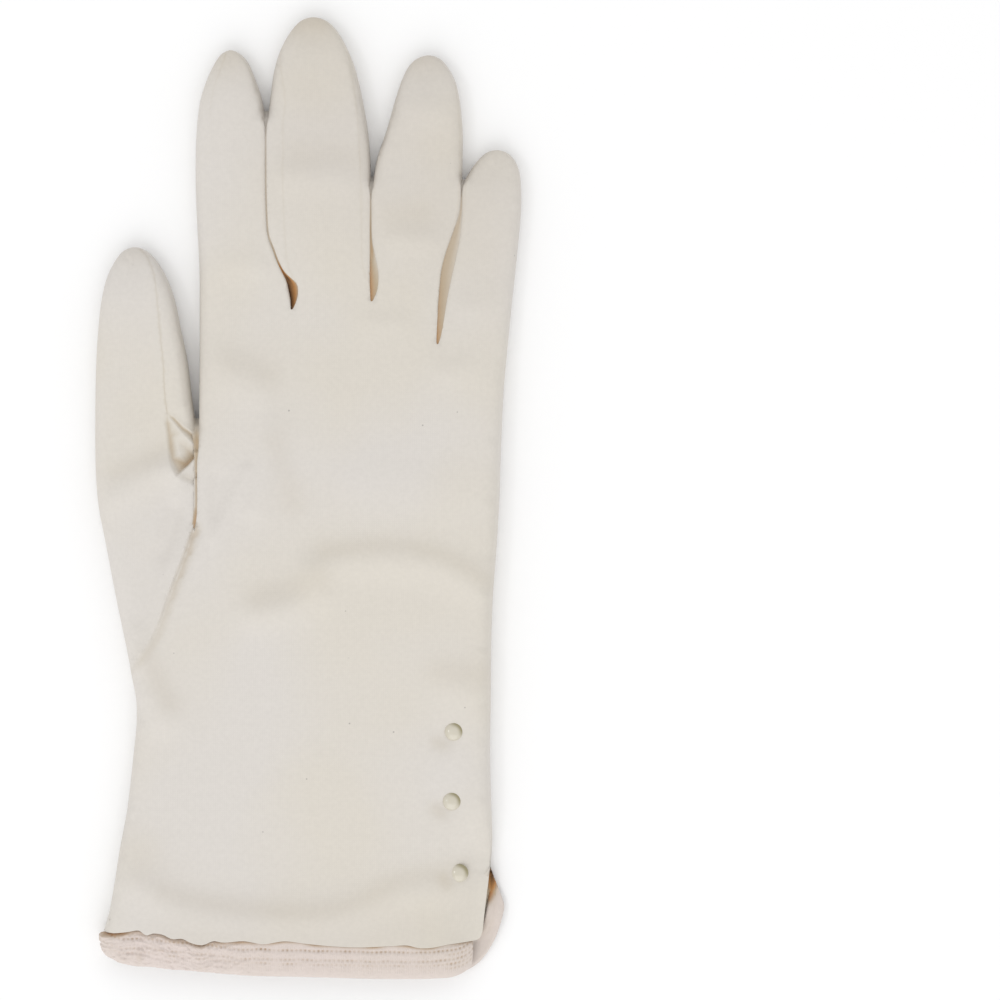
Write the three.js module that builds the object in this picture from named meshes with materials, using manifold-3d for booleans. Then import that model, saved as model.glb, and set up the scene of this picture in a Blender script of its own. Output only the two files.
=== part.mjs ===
// A woman's wrist-length dress glove for the right hand, lying with its back up on a flat surface.
// Millimetres, +Z up. X runs across the hand to the little finger, Y from the hem to the fingertips.
// The origin is at the middle of the glove, on the surface that it lies on.
import * as THREE from 'three';
import { mergeVertices } from 'three/addons/utils/BufferGeometryUtils.js';
import Module from 'manifold-3d';

const wasm = await Module();
wasm.setup();

// Driving dimensions.
const CLOTH = 1;              // wall of the knitted silk
const BAND_WALL = 1.1;        // wall of the ribbed band at the hem
const SEAM_GAP = 0.3;         // clearance along each seam
const SIDE_LEVEL = 0.42;      // where the side of a section turns, as a share of its height
const CROWN = 2.6;            // roundness of a section's top, 2 is an ellipse and more is flatter
const CORNER = 6;             // width of the rounded lower corner of a section
const CORNER_SHARE = 0.6;     // and its most, as a share of half the section
const TOP_STEPS = 11;         // facets over the top of a finger
const HAND_TOP_STEPS = 16;    // facets over the top of the palm
const CORNER_STEPS = 2;       // facets round each lower corner
const HAND_ROW_STEP = 8;      // spacing of the palm's sections
const ABOVE = 30;             // a height above everything, for cuts that go right up
const BELOW = -10;            // and a depth below everything
const RUN_ON = 5;             // how far a hollow runs on past its open end
const MERGE_WITHIN = 1e-5;    // corners this near to each other are one
const MITRE_LEAST = 0.35;     // keeps the sharpest corners of a moved outline short

// Palm and cuff, from the hem to the knuckles. Columns: place along the hand, left and right edge,
// height, and how far the section climbs for each mm to the right.
const HAND = [
  { y: -118.9, left: -55.2, right: 47.4, high: 10.1, skew: -0.035 },
  { y: -109, left: -53.2, right: 48.6, high: 10, skew: -0.02 },
  { y: -95, left: -50.9, right: 49.6, high: 9.8, skew: 0 },
  { y: -71, left: -47.3, right: 49.2, high: 9.7, skew: 0 },
  { y: -55, left: -46.2, right: 49.3, high: 9.8, skew: 0 },
  { y: -44, left: -46.5, right: 49.4, high: 10, skew: 0 },
  { y: -31, left: -42, right: 49.7, high: 10.3, skew: 0 },
  { y: -17, left: -36, right: 50.6, high: 10.7, skew: 0 },
  { y: -4, left: -29.8, right: 51.5, high: 10.8, skew: 0 },
  { y: 8, left: -29.2, right: 51.9, high: 10.6, skew: 0 },
  { y: 18, left: -29.2, right: 52.3, high: 10.4, skew: -0.05 },
  { y: 28, left: -29.2, right: 52.6, high: 9.8, skew: -0.1 },
  { y: 36, left: -29, right: 52.6, high: 8.8, skew: -0.15 },
  { y: 41, left: -27, right: 50.5, high: 6.8, skew: -0.18 },
];

// Fingers and thumb, each from its root inside the palm to its tip. The last row is the tip itself.
const INDEX = [
  { y: 26, left: -27.6, right: -2, high: 8 },
  { y: 38, left: -29, right: 0.5, high: 8.6 },
  { y: 46, left: -29.2, right: -2, high: 8.6 },
  { y: 50, left: -29.4, right: -4.6, high: 8.6 },
  { y: 57.5, left: -29.4, right: -6.2, high: 8.6 },
  { y: 66.6, left: -29.4, right: -9.3, high: 8.5 },
  { y: 76, left: -30.2, right: -11.1, high: 8.4 },
  { y: 90, left: -30.5, right: -11.6, high: 8.2 },
  { y: 100, left: -30.2, right: -11.8, high: 7.8 },
  { y: 107.1, left: -29.2, right: -12.6, high: 7.2 },
  { y: 112.5, left: -27.4, right: -14.2, high: 6.4 },
  { y: 117.2, left: -25.1, right: -16.3, high: 5 },
  { y: 119.7, left: -23.1, right: -18.8, high: 3.6 },
  { y: 120.6, left: -21.1, right: -21.1, high: 1.8 },
];
const MIDDLE = [
  { y: 26, left: -9, right: 22, high: 8.2 },
  { y: 40, left: -9.5, right: 23, high: 8.8 },
  { y: 46.5, left: -7, right: 20, high: 8.8 },
  { y: 50, left: -3.9, right: 18, high: 8.8 },
  { y: 53.4, left: -2.9, right: 17, high: 8.8 },
  { y: 57.5, left: -4.8, right: 16.9, high: 8.8 },
  { y: 64, left: -7.4, right: 16.9, high: 8.8 },
  { y: 73, left: -9.9, right: 16.9, high: 8.7 },
  { y: 84, left: -10.8, right: 17, high: 8.6 },
  { y: 98, left: -11.1, right: 16.2, high: 8.4 },
  { y: 107.5, left: -10.4, right: 14.7, high: 8 },
  { y: 115.2, left: -9.2, right: 12.7, high: 7.4 },
  { y: 121.2, left: -7.3, right: 10.5, high: 6.5 },
  { y: 126, left: -4.3, right: 7.6, high: 5 },
  { y: 128.6, left: -1.5, right: 4.3, high: 3.6 },
  { y: 129.5, left: 1.4, right: 1.4, high: 1.8 },
];
const RING = [
  { y: 24, left: 13, right: 42, high: 8.2 },
  { y: 34, left: 11.5, right: 39.5, high: 8.6 },
  { y: 40.2, left: 11.5, right: 35.6, high: 8.7 },
  { y: 48, left: 14.5, right: 34.7, high: 8.7 },
  { y: 52.3, left: 17.2, right: 35.1, high: 8.7 },
  { y: 56, left: 18.5, right: 35.7, high: 8.7 },
  { y: 64, left: 18.4, right: 37.1, high: 8.6 },
  { y: 72, left: 17.9, right: 39.6, high: 8.5 },
  { y: 83, left: 17.9, right: 41.4, high: 8.4 },
  { y: 91, left: 18.6, right: 41.8, high: 8.2 },
  { y: 99, left: 21.3, right: 41.7, high: 7.8 },
  { y: 107.1, left: 23.6, right: 40.9, high: 7.2 },
  { y: 112.5, left: 25.4, right: 39.6, high: 6.3 },
  { y: 116.5, left: 27.5, right: 37.2, high: 5 },
  { y: 118.5, left: 29.8, right: 35.2, high: 3.6 },
  { y: 119.2, left: 32.7, right: 32.7, high: 1.8 },
];
const LITTLE = [
  { y: 16, left: 31, right: 49.5, high: 8.2 },
  { y: 29, left: 30.5, right: 52, high: 8.8 },
  { y: 36, left: 32.4, right: 53.2, high: 8.9 },
  { y: 41, left: 35.3, right: 53.8, high: 8.9 },
  { y: 47, left: 36.6, right: 54.5, high: 8.9 },
  { y: 54, left: 37.6, right: 55.2, high: 8.8 },
  { y: 62, left: 39.2, right: 56.1, high: 8.7 },
  { y: 70, left: 41, right: 56.8, high: 8.6 },
  { y: 77.4, left: 42.3, right: 57.4, high: 8.3 },
  { y: 84, left: 42.6, right: 57.4, high: 7.4 },
  { y: 88.4, left: 44, right: 56.7, high: 6 },
  { y: 91.6, left: 46.4, right: 55.2, high: 4.8 },
  { y: 93, left: 48.2, right: 53.6, high: 3.6 },
  { y: 93.6, left: 50.8, right: 50.8, high: 1.8 },
];
const THUMB = [
  { y: -54, left: -44.5, right: -38, high: 8.2 },
  { y: -44, left: -47.6, right: -32, high: 9.3 },
  { y: -34, left: -50.6, right: -27, high: 9.9 },
  { y: -22, left: -52.8, right: -24, high: 10.1 },
  { y: -11, left: -55, right: -24.5, high: 10.1 },
  { y: -3.5, left: -56.4, right: -26.8, high: 10 },
  { y: 1.5, left: -57, right: -29.6, high: 9.8 },
  { y: 10, left: -57.4, right: -29.8, high: 9.6 },
  { y: 22, left: -57.5, right: -30.2, high: 9.4 },
  { y: 32, left: -57.3, right: -31.8, high: 9.2 },
  { y: 43, left: -56.8, right: -34, high: 8.8 },
  { y: 53.1, left: -55.9, right: -36, high: 8.2 },
  { y: 59.5, left: -54.4, right: -38.2, high: 7.2 },
  { y: 64, left: -52, right: -40.9, high: 5.8 },
  { y: 66.6, left: -49.4, right: -43.6, high: 3.8 },
  { y: 67.4, left: -46.7, right: -46.7, high: 1.8 },
];

// Ribbed band: it starts inside the hem and comes out below it. The last column is its underside.
const BAND = [
  { y: -115, left: -51.6, right: 45.6, high: 8.3, low: 1.4, skew: -0.035 },
  { y: -118.2, left: -52.5, right: 45.2, high: 8.4, low: 1.4, skew: -0.035 },
  { y: -119.6, left: -52.8, right: 45.2, high: 8.5, low: 1.2, skew: -0.035 },
  { y: -121, left: -56, right: 47.6, high: 8.9, low: 0, skew: -0.035 },
  { y: -124, left: -56.2, right: 47.8, high: 9.1, low: 0, skew: -0.035 },
  { y: -126.6, left: -54.4, right: 46.8, high: 8.8, low: 0, skew: -0.035 },
  { y: -128, left: -52.4, right: 44, high: 8.3, low: 0.3, skew: -0.035 },
];

// Soft dents in the back: each is a trough from one end to the other.
const DENTS = [
  { name: 'across the palm, left', from: [-17, -27], to: [8, -15], wide: 8, deep: 0.9 },
  { name: 'across the palm, right', from: [8, -15], to: [46, -18], wide: 7, deep: 0.9 },
  { name: 'knuckle', from: [-11, 16], to: [-5, 3], wide: 6, deep: 0.6 },
  { name: 'pucker beside the thumb', from: [-23, 8], to: [-26, -10], wide: 4, deep: 0.8 },
  { name: 'thumb root', from: [-53, 4], to: [-37, 14], wide: 5, deep: 0.8 },
  { name: 'thumb valley', from: [-35, -6], to: [-46, -34], wide: 5, deep: 0.9 },
  { name: 'wrist', from: [-42, -40], to: [-34, -58], wide: 6, deep: 0.8 },
  { name: 'above the hem, left', from: [-46, -108], to: [-7, -110], wide: 5, deep: 0.7 },
  { name: 'above the hem, right', from: [-7, -110], to: [38, -102], wide: 5, deep: 0.7 },
];

// Gusset strips between the fingers. Share is how far the strip reaches over each finger from its
// edge, roof is the height that it reaches up to there, and end is where it stops below the tip.
const FOURCHETTES = [
  {
    name: 'fourchette_index_middle', crotch: 46,
    left: { finger: INDEX, share: 2.2, roof: 6.2, end: 110 },
    right: { finger: MIDDLE, share: 4.8, roof: ABOVE, end: 116 },
  },
  {
    name: 'fourchette_middle_ring', crotch: 48,
    left: { finger: MIDDLE, share: 2.8, roof: ABOVE, end: 116 },
    right: { finger: RING, share: 2.2, roof: 6.2, end: 108 },
  },
  {
    name: 'fourchette_ring_little', crotch: 36.5,
    left: { finger: RING, share: 2.2, roof: 6.2, end: 108 },
    right: { finger: LITTLE, share: 2.4, roof: 6, end: 85 },
  },
];
const FOURCHETTE_FLOOR = 2;       // underside of the strips, above the palm cloth
const SHARE_TAPER = 14;           // length over which a strip narrows towards the fingertip
const LEAST_SHARE = 1.6;
const STRIP_STEP = 6;             // spacing of the points along a strip
const STRIP_LAP = 0.25;           // how far the two legs of a strip run over each other

// Seam round the thumb, from the web down to the wrist, and on up through the gap beside the hand.
const THUMB_SEAM = [
  [-70, -47.5], [-48.4, -45.6], [-44.4, -41.2], [-39.6, -31.6], [-36.9, -24], [-34.1, -17.2],
  [-31.2, -10.4], [-29.6, -3.6], [-29.5, 20], [-31.2, 40], [-33, 80], [-70, 80],
];
// Small folded gusset in the web between thumb and hand.
const WEB = [[-37.4, 22.6], [-29.5, 13.6], [-29.5, 3.4], [-33.4, 4.8]];

// Slit at the little-finger side of the cuff, and the strip of band that edges its palm side.
const VENT = { y0: -140, y1: -101, hand: 46.2, band: 43.4, x1: 60, z0: 2.2, z1: 6.6 };
const VENT_EDGE = [
  [50, -98.6], [51.6, -99.4], [53.2, -110.6], [52.4, -115], [50.8, -120], [48.8, -124.6],
  [45.6, -127], [44, -124], [47.6, -121.4], [49.2, -118.4], [49.9, -110], [49.9, -104],
];
const VENT_EDGE_Z = { low: 0.4, high: 2.1 };

// Three pearl buttons on the back of the cuff, beside the vent.
const PEARL = { radius: 2.5, thick: 3.2, rim: 1.1, seat: 1.6, sides: 12, steps: 4 };
const PEARLS = [[39.4, -63], [38.9, -81.7], [40.9, -101.1]];

// Turns a closed three.js geometry into a solid that can be cut and joined.
function solid(geometry) {
  const bare = geometry.clone();
  bare.deleteAttribute('normal');
  bare.deleteAttribute('uv');
  const merged = mergeVertices(bare, MERGE_WITHIN);
  return new wasm.Manifold(new wasm.Mesh({
    numProp: 3,
    vertProperties: new Float32Array(merged.attributes.position.array),
    triVerts: new Uint32Array(merged.index.array),
  }));
}

function node(name, body, material) {
  const { numProp, vertProperties, triVerts } = body.getMesh();
  const geometry = new THREE.BufferGeometry();
  geometry.setAttribute('position', new THREE.BufferAttribute(vertProperties, numProp));
  geometry.setIndex(new THREE.BufferAttribute(triVerts, 1));
  geometry.computeVertexNormals();
  const mesh = new THREE.Mesh(geometry, material);
  mesh.name = name;
  return mesh;
}

// How far the cloth is pressed down at a point of the back.
function dent(x, y) {
  const point = new THREE.Vector3(x, y, 0);
  const nearest = new THREE.Vector3();
  let depth = 0;
  for (const { from, to, wide, deep } of DENTS) {
    const line = new THREE.Line3(new THREE.Vector3(...from, 0), new THREE.Vector3(...to, 0));
    line.closestPointToPoint(point, true, nearest);
    depth = Math.max(depth, deep * Math.exp(-((nearest.distanceTo(point) / wide) ** 2)));
  }
  return depth;
}

// One section: over the crowned top from right to left, then back along the flat underside.
function section({ y, left, right, high, low = 0, skew = 0 }, topSteps) {
  const middle = (left + right) / 2;
  const half = (right - left) / 2;
  const side = low + (high - low) * SIDE_LEVEL;
  const corner = Math.min(CORNER, half * CORNER_SHARE);
  const points = [];
  const put = (x, z) => points.push(new THREE.Vector3(x, y + skew * x, z));
  for (let i = 0; i <= topSteps; i += 1) {
    const angle = (Math.PI * i) / topSteps;
    const across = Math.abs(Math.cos(angle)) ** (2 / CROWN) * Math.sign(Math.cos(angle));
    const up = Math.max(0, Math.sin(angle)) ** (2 / CROWN);
    const x = middle + half * across;
    put(x, side + (high - side - dent(x, y + skew * x)) * up);
  }
  for (const hand of [-1, 1]) {
    for (let i = 0; i < CORNER_STEPS; i += 1) {
      const angle = (Math.PI / 2) * ((hand < 0 ? i + 1 : CORNER_STEPS - i) / CORNER_STEPS);
      const x = middle + hand * (half - corner * (1 - Math.cos(angle)));
      put(x, side - (side - low) * Math.sin(angle));
    }
  }
  return points;
}

// Skin through the sections, moved inwards by a wall's thickness where one is asked for.
function skin(rows, { topSteps, inset = 0, openEnd = 0, openTop = 0 }) {
  const tipRow = rows[rows.length - 1];
  const pointed = tipRow.left === tipRow.right;
  const rings = (pointed ? rows.slice(0, -1) : rows).map((row) => section(row, topSteps));
  const first = new THREE.Vector3(0, 0, 0);
  const last = new THREE.Vector3(0, 0, 0);
  rings[0].forEach((point) => first.addScaledVector(point, 1 / rings[0].length));
  rings.at(-1).forEach((point) => last.addScaledVector(point, 1 / rings[0].length));
  if (pointed) last.set(tipRow.left, tipRow.y, tipRow.high);
  const count = rings[0].length;
  const moved = rings.map((ring, j) => ring.map((point, k) => {
    const along = rings[Math.min(j + 1, rings.length - 1)][k].clone();
    if (pointed && j === rings.length - 1) along.copy(last);
    along.sub(rings[Math.max(j - 1, 0)][k]);
    const around = ring[(k + 1) % count].clone().sub(ring[(k + count - 1) % count]);
    const outward = along.cross(around).normalize();
    return point.clone().addScaledVector(outward, -inset);
  }));
  if (pointed) last.y -= inset;
  last.y += openTop;
  first.y -= openEnd;
  moved.at(-1).forEach((point) => { point.y += openTop; });
  moved[0].forEach((point) => { point.y -= openEnd; });
  const corners = [...moved.flat(), first, last];
  const index = [];
  for (let j = 0; j < moved.length; j += 1) {
    for (let k = 0; k < count; k += 1) {
      const next = (k + 1) % count;
      const here = j * count;
      const there = here + count;
      if (j === 0) index.push(corners.length - 2, here + k, here + next);
      if (j === moved.length - 1) index.push(corners.length - 1, here + next, here + k);
      else index.push(here + k, there + k, there + next, here + k, there + next, here + next);
    }
  }
  const geometry = new THREE.BufferGeometry().setFromPoints(corners);
  geometry.setIndex(index);
  return solid(geometry);
}

// More sections between those of a table, on smooth curves through its columns.
function refine(rows, step) {
  const columns = Object.keys(rows[0]);
  const places = rows.map((row) => row.y);
  const values = rows.flatMap((row) => columns.map((column) => row[column]));
  const curve = new THREE.CubicInterpolant(places, values, columns.length);
  const count = Math.round((places.at(-1) - places[0]) / step);
  return Array.from({ length: count + 1 }, (_, i) => {
    const row = curve.evaluate(THREE.MathUtils.lerp(places[0], places.at(-1), i / count));
    return Object.fromEntries(columns.map((column, c) => [column, row[c]]));
  });
}

// Upright block over a plan outline.
function block(outline, low, high) {
  const shape = new THREE.Shape(outline.map(([x, y]) => new THREE.Vector2(x, y)));
  const geometry = new THREE.ExtrudeGeometry(shape, { depth: high - low, bevelEnabled: false });
  return solid(geometry.translate(0, 0, low));
}

// Plan outline with each side moved outwards.
function grown(outline, by) {
  const turn = THREE.ShapeUtils.area(outline.map(([x, y]) => ({ x, y }))) > 0 ? 1 : -1;
  return outline.map((corner, i) => {
    const before = outline.at(i - 1);
    const after = outline[(i + 1) % outline.length];
    const a = new THREE.Vector2(corner[0] - before[0], corner[1] - before[1]).normalize();
    const b = new THREE.Vector2(after[0] - corner[0], after[1] - corner[1]).normalize();
    const out = new THREE.Vector2(a.y + b.y, -a.x - b.x).multiplyScalar(turn);
    const reach = by / Math.max(MITRE_LEAST, (1 + a.dot(b)) / 2) / 2;
    return [corner[0] + out.x * reach, corner[1] + out.y * reach];
  });
}

// Left or right edge of a finger at a place along it.
function edgeAt(finger, side, y) {
  const above = finger.findIndex((row) => row.y >= y);
  if (above < 1) return finger.at(above)[side];
  const [a, b] = [finger[above - 1], finger[above]];
  return THREE.MathUtils.mapLinear(y, a.y, b.y, a[side], b[side]);
}

// Block that holds one leg of a strip between two fingers.
function leg({ crotch, left, right }, side, slack) {
  const { finger, share, roof, end } = side === 'left' ? left : right;
  const inward = side === 'left' ? -1 : 1;
  const facing = side === 'left' ? 'right' : 'left';
  const count = Math.round((end - crotch) / STRIP_STEP);
  const seam = [];
  const slit = [];
  for (let i = 0; i <= count; i += 1) {
    const y = THREE.MathUtils.lerp(crotch, end, i / count);
    let spread = 0;
    if (i === 0) spread = -slack;
    if (i === count) spread = slack;
    const narrowed = Math.max(LEAST_SHARE, share * Math.min(1, (end - y) / SHARE_TAPER));
    const middle = (edgeAt(left.finger, 'right', y) + edgeAt(right.finger, 'left', y)) / 2;
    const reach = inward * (edgeAt(finger, facing, y) - middle);
    seam.push([middle + inward * (Math.max(0, reach) + narrowed + slack), y + spread]);
    slit.unshift([middle - inward * (STRIP_LAP + slack), y + spread]);
  }
  return block([...seam, ...slit], FOURCHETTE_FLOOR - slack, Math.min(ABOVE, roof + slack));
}

function strip(row, slack) {
  return leg(row, 'left', slack).add(leg(row, 'right', slack));
}

// Slit in the side of the cuff, from a place across it outwards.
function ventFrom(x) {
  const outline = [[x, VENT.y0], [VENT.x1, VENT.y0], [VENT.x1, VENT.y1], [x, VENT.y1]];
  return block(outline, VENT.z0, VENT.z1);
}

function pearlGeometry() {
  const { radius, thick, rim, seat, sides, steps } = PEARL;
  const profile = [new THREE.Vector2(0, 0), new THREE.Vector2(seat, 0)];
  for (let i = 0; i <= steps; i += 1) {
    const angle = (Math.PI / 2) * (i / steps);
    const across = i === steps ? 0 : radius * Math.cos(angle);
    profile.push(new THREE.Vector2(across, rim + (thick - rim) * Math.sin(angle)));
  }
  return new THREE.LatheGeometry(profile, sides).rotateX(Math.PI / 2);
}

const silk = new THREE.MeshStandardMaterial({ color: 0xddd7ce, roughness: 0.85, metalness: 0 });
const gussetSilk = new THREE.MeshStandardMaterial({ color: 0xd3c6b4, roughness: 0.85, metalness: 0 });
const ribbed = new THREE.MeshStandardMaterial({ color: 0xdcd0c6, roughness: 0.9, metalness: 0 });
const pearl = new THREE.MeshStandardMaterial({ color: 0xd7d0b9, roughness: 0.25, metalness: 0 });

// The whole glove as one skin: every form joined on the outside, and all the hollows taken out.
const tubes = [
  { rows: refine(HAND, HAND_ROW_STEP), topSteps: HAND_TOP_STEPS, openEnd: RUN_ON },
  ...[INDEX, MIDDLE, RING, LITTLE, THUMB].map((rows) => ({ rows, topSteps: TOP_STEPS, openEnd: 0 })),
];
const outside = tubes.map(({ rows, topSteps }) => skin(rows, { topSteps }))
  .reduce((whole, form) => whole.add(form));
const inside = tubes.map(({ rows, topSteps, openEnd }) => skin(rows, { topSteps, openEnd, inset: CLOTH }))
  .reduce((whole, form) => whole.add(form));
const shell = outside.subtract(inside);

// The thumb, its web gusset and the strips between the fingers are cut out along their seams.
const thumbSide = THUMB_SEAM.map(([x, y]) => [x - SEAM_GAP / 2, y]);
const handSide = THUMB_SEAM.map(([x, y]) => [x + SEAM_GAP / 2, y]);
const thumbSkin = shell.intersect(block(thumbSide, BELOW, ABOVE));
const web = thumbSkin.intersect(block(WEB, BELOW, ABOVE));
const thumb = thumbSkin.subtract(block(grown(WEB, SEAM_GAP), BELOW, ABOVE));
let hand = shell.subtract(block(handSide, BELOW, ABOVE)).subtract(ventFrom(VENT.hand));
const strips = FOURCHETTES.map((row) => {
  const piece = shell.intersect(strip(row, 0));
  hand = hand.subtract(strip(row, SEAM_GAP));
  return node(row.name, piece, gussetSilk);
});

// The band is a ring that the vent opens, with the strip that runs up the vent's palm side.
const bandRows = [...BAND].reverse();
const bandRing = skin(bandRows, { topSteps: HAND_TOP_STEPS })
  .subtract(skin(bandRows, {
    topSteps: HAND_TOP_STEPS, inset: BAND_WALL, openEnd: RUN_ON, openTop: RUN_ON,
  }));
const band = bandRing.subtract(ventFrom(VENT.band)).add(block(VENT_EDGE, VENT_EDGE_Z.low, VENT_EDGE_Z.high));

const glove = new THREE.Group();
const handMesh = node('hand', hand, silk);
glove.add(handMesh, node('thumb', thumb, silk), node('thumb_gusset', web, gussetSilk), ...strips);
glove.add(node('hem_band', band, ribbed));

// Each pearl sits on the cloth, at the height that the back has there.
PEARLS.forEach(([x, y], i) => {
  const ray = new THREE.Raycaster(new THREE.Vector3(x, y, ABOVE), new THREE.Vector3(0, 0, -1));
  const [{ point }] = ray.intersectObject(handMesh);
  const button = node(`pearl_button_${i + 1}`, solid(pearlGeometry()), pearl);
  button.position.set(x, y, point.z + SEAM_GAP);
  glove.add(button);
});

export default glove;
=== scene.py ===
import math

import bpy
import numpy as np
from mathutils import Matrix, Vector, kdtree, noise
from mathutils.geometry import delaunay_2d_cdt


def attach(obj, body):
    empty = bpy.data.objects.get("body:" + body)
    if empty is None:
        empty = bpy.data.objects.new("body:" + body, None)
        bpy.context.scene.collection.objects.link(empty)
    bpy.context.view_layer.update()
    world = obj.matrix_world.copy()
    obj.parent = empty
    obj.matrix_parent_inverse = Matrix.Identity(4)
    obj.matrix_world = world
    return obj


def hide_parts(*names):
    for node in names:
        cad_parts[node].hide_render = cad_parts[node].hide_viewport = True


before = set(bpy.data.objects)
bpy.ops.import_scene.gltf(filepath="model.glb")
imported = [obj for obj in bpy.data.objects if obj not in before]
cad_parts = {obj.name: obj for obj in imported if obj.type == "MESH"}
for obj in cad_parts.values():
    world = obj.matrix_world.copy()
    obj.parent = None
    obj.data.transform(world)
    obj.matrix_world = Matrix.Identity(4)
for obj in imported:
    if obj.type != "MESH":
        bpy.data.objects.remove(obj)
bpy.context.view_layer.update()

# The glove lies on its palm with the fingertips at the top of the picture, and the camera looks
# straight down on it. The picture is 270 mm wide at the level of the glove's sides, and the glove
# lies in its left half.
MM = 0.001

FRAME_WIDTH = 270 * MM
FRAME_MIDDLE = Vector((51.8 * MM, -0.9 * MM, 4 * MM))
LENS = 100
SENSOR = 36
camera_data = bpy.data.cameras.new("camera")
camera_data.lens = LENS
camera_data.sensor_width = SENSOR
camera_data.sensor_fit = "HORIZONTAL"
camera_data.clip_start = 0.01
camera = bpy.data.objects.new("camera", camera_data)
camera.location = FRAME_MIDDLE + Vector((0, 0, FRAME_WIDTH * LENS / SENSOR))
bpy.context.collection.objects.link(camera)
bpy.context.scene.camera = camera

# Hand, the trank of the glove: one piece of fine knitted silk for the back, the palm and the four
# fingers, folded on the index side and sewn on the little-finger side. The whole skin of the glove
# is drawn first, and each piece then takes its own share of it along its seams.

# Edge of the glove as it lies, in mm, clockwise from the left end of the hem. Each stretch has the
# width of its rounding at its start and at its end.
OUTLINE = {
    "cuff, index side": (4.2, 4.4, [
        (-55.1, -116.9), (-53.7, -112), (-52.4, -105), (-50.9, -95.4), (-48.9, -84.6), (-47.3, -71.1),
        (-46.3, -60.3), (-46.4, -54.9), (-47.6, -48.5)]),
    "thumb, outer side": (4.4, 5, [
        (-48.9, -41.4), (-51.7, -27.9), (-54.8, -11.7), (-56.4, -3.6), (-57.3, 6), (-57.5, 22),
        (-57.2, 36.9), (-56.7, 45), (-55.8, 53.1), (-54.4, 59), (-52, 63.9), (-49.8, 66.4)]),
    "thumb, inner side": (5, 1.5, [
        (-46.7, 67.4), (-43.6, 66.3), (-40.7, 63.4), (-37.9, 58.5), (-36, 53.1), (-34.3, 45),
        (-32.6, 36.9), (-31.3, 26.5), (-30.4, 20), (-29.8, 14.2), (-29.7, 5), (-29.7, -2),
        (-29.9, -5)]),
    "index, outer side": (1.5, 4.6, [
        (-30.2, -8.2), (-29.75, -6.4), (-29.5, -3), (-29.5, 6), (-29.4, 26), (-29.3, 45), (-29.4, 62),
        (-30.1, 76), (-30.4, 87), (-30.1, 99), (-29.1, 107.1), (-27.4, 112.5), (-24.9, 117.6),
        (-23.3, 119.6)]),
    "index, inner side": (4.6, 1, [
        (-21.1, 120.6), (-18.8, 119.8), (-16.5, 117.6), (-14.2, 112.5), (-12.4, 107.1), (-11.4, 101),
        (-11.2, 90), (-11.15, 82), (-10.95, 75), (-10.5, 70), (-9.3, 66.7), (-7.85, 62.8),
        (-6.5, 60.1), (-5.5, 58), (-4.9, 55.5), (-4.5, 53)]),
    "middle, index side": (1, 4.8, [
        (-4.2, 50.3), (-3.3, 51.9), (-2.7, 54.6), (-3, 56.9), (-4.3, 58.4), (-6.2, 60.3),
        (-7.65, 63), (-9.1, 66.9), (-10.3, 70.2), (-10.75, 75), (-11, 82), (-11.05, 90),
        (-10.95, 101), (-10.3, 107.1), (-9.1, 115.2), (-7.4, 120.8), (-4.4, 126), (-1.8, 128.6)]),
    "middle, ring side": (4.8, 1, [
        (1.4, 129.5), (4.7, 128.6), (7.6, 126), (10.7, 120.6), (12.8, 115.2), (14.7, 107.1),
        (16.1, 99), (16.8, 90.9), (17, 80.1), (16.95, 70.6), (17, 62), (17.05, 56)]),
    "ring, middle side": (1, 4.6, [
        (17.3, 52.5), (18.2, 54.4), (18.8, 57.5), (18.7, 61), (18, 65), (17.3, 69), (17.15, 75),
        (17.25, 82), (18.5, 90.9), (21.2, 99), (23.5, 107.1), (25.3, 112.5), (27.4, 116.5),
        (29.8, 118.5)]),
    "ring, little side": (4.6, 1, [
        (32.7, 119.2), (35.3, 118.4), (37.3, 116.5), (39.6, 112.5), (40.9, 107.1), (41.7, 99),
        (41.7, 90.9), (41.5, 84), (41.1, 77), (39.4, 71), (37.7, 66), (36.4, 61), (35.7, 55),
        (35.2, 48)]),
    "little, ring side": (1, 4.4, [
        (35, 40.9), (35.7, 43), (36.5, 47.7), (37.3, 53.1), (38.3, 58.5), (39.5, 64), (40.8, 70),
        (41.5, 77), (41.8, 84), (43.9, 88.2), (46.4, 91.4), (48.4, 93)]),
    "little, outer side": (4.4, 4.2, [
        (50.8, 93.6), (53.4, 93), (55.5, 91.2), (56.9, 88.2), (57.5, 83), (57.5, 77.4), (56.8, 69.3),
        (56, 61.2), (55.1, 53.1), (54.3, 45), (53.6, 38), (52.8, 29), (52.1, 14), (51.6, -1),
        (50.8, -14.4), (49.8, -27.9), (49.4, -41.4), (49.3, -54.9), (49.1, -68.4), (49.4, -81.9),
        (49.7, -92.7), (49.2, -100.2)]),
}
CURVE_STEPS = 16          # places worked out on a curve between two given points
STEP = 0.8                # spacing of the points along the edge


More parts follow.
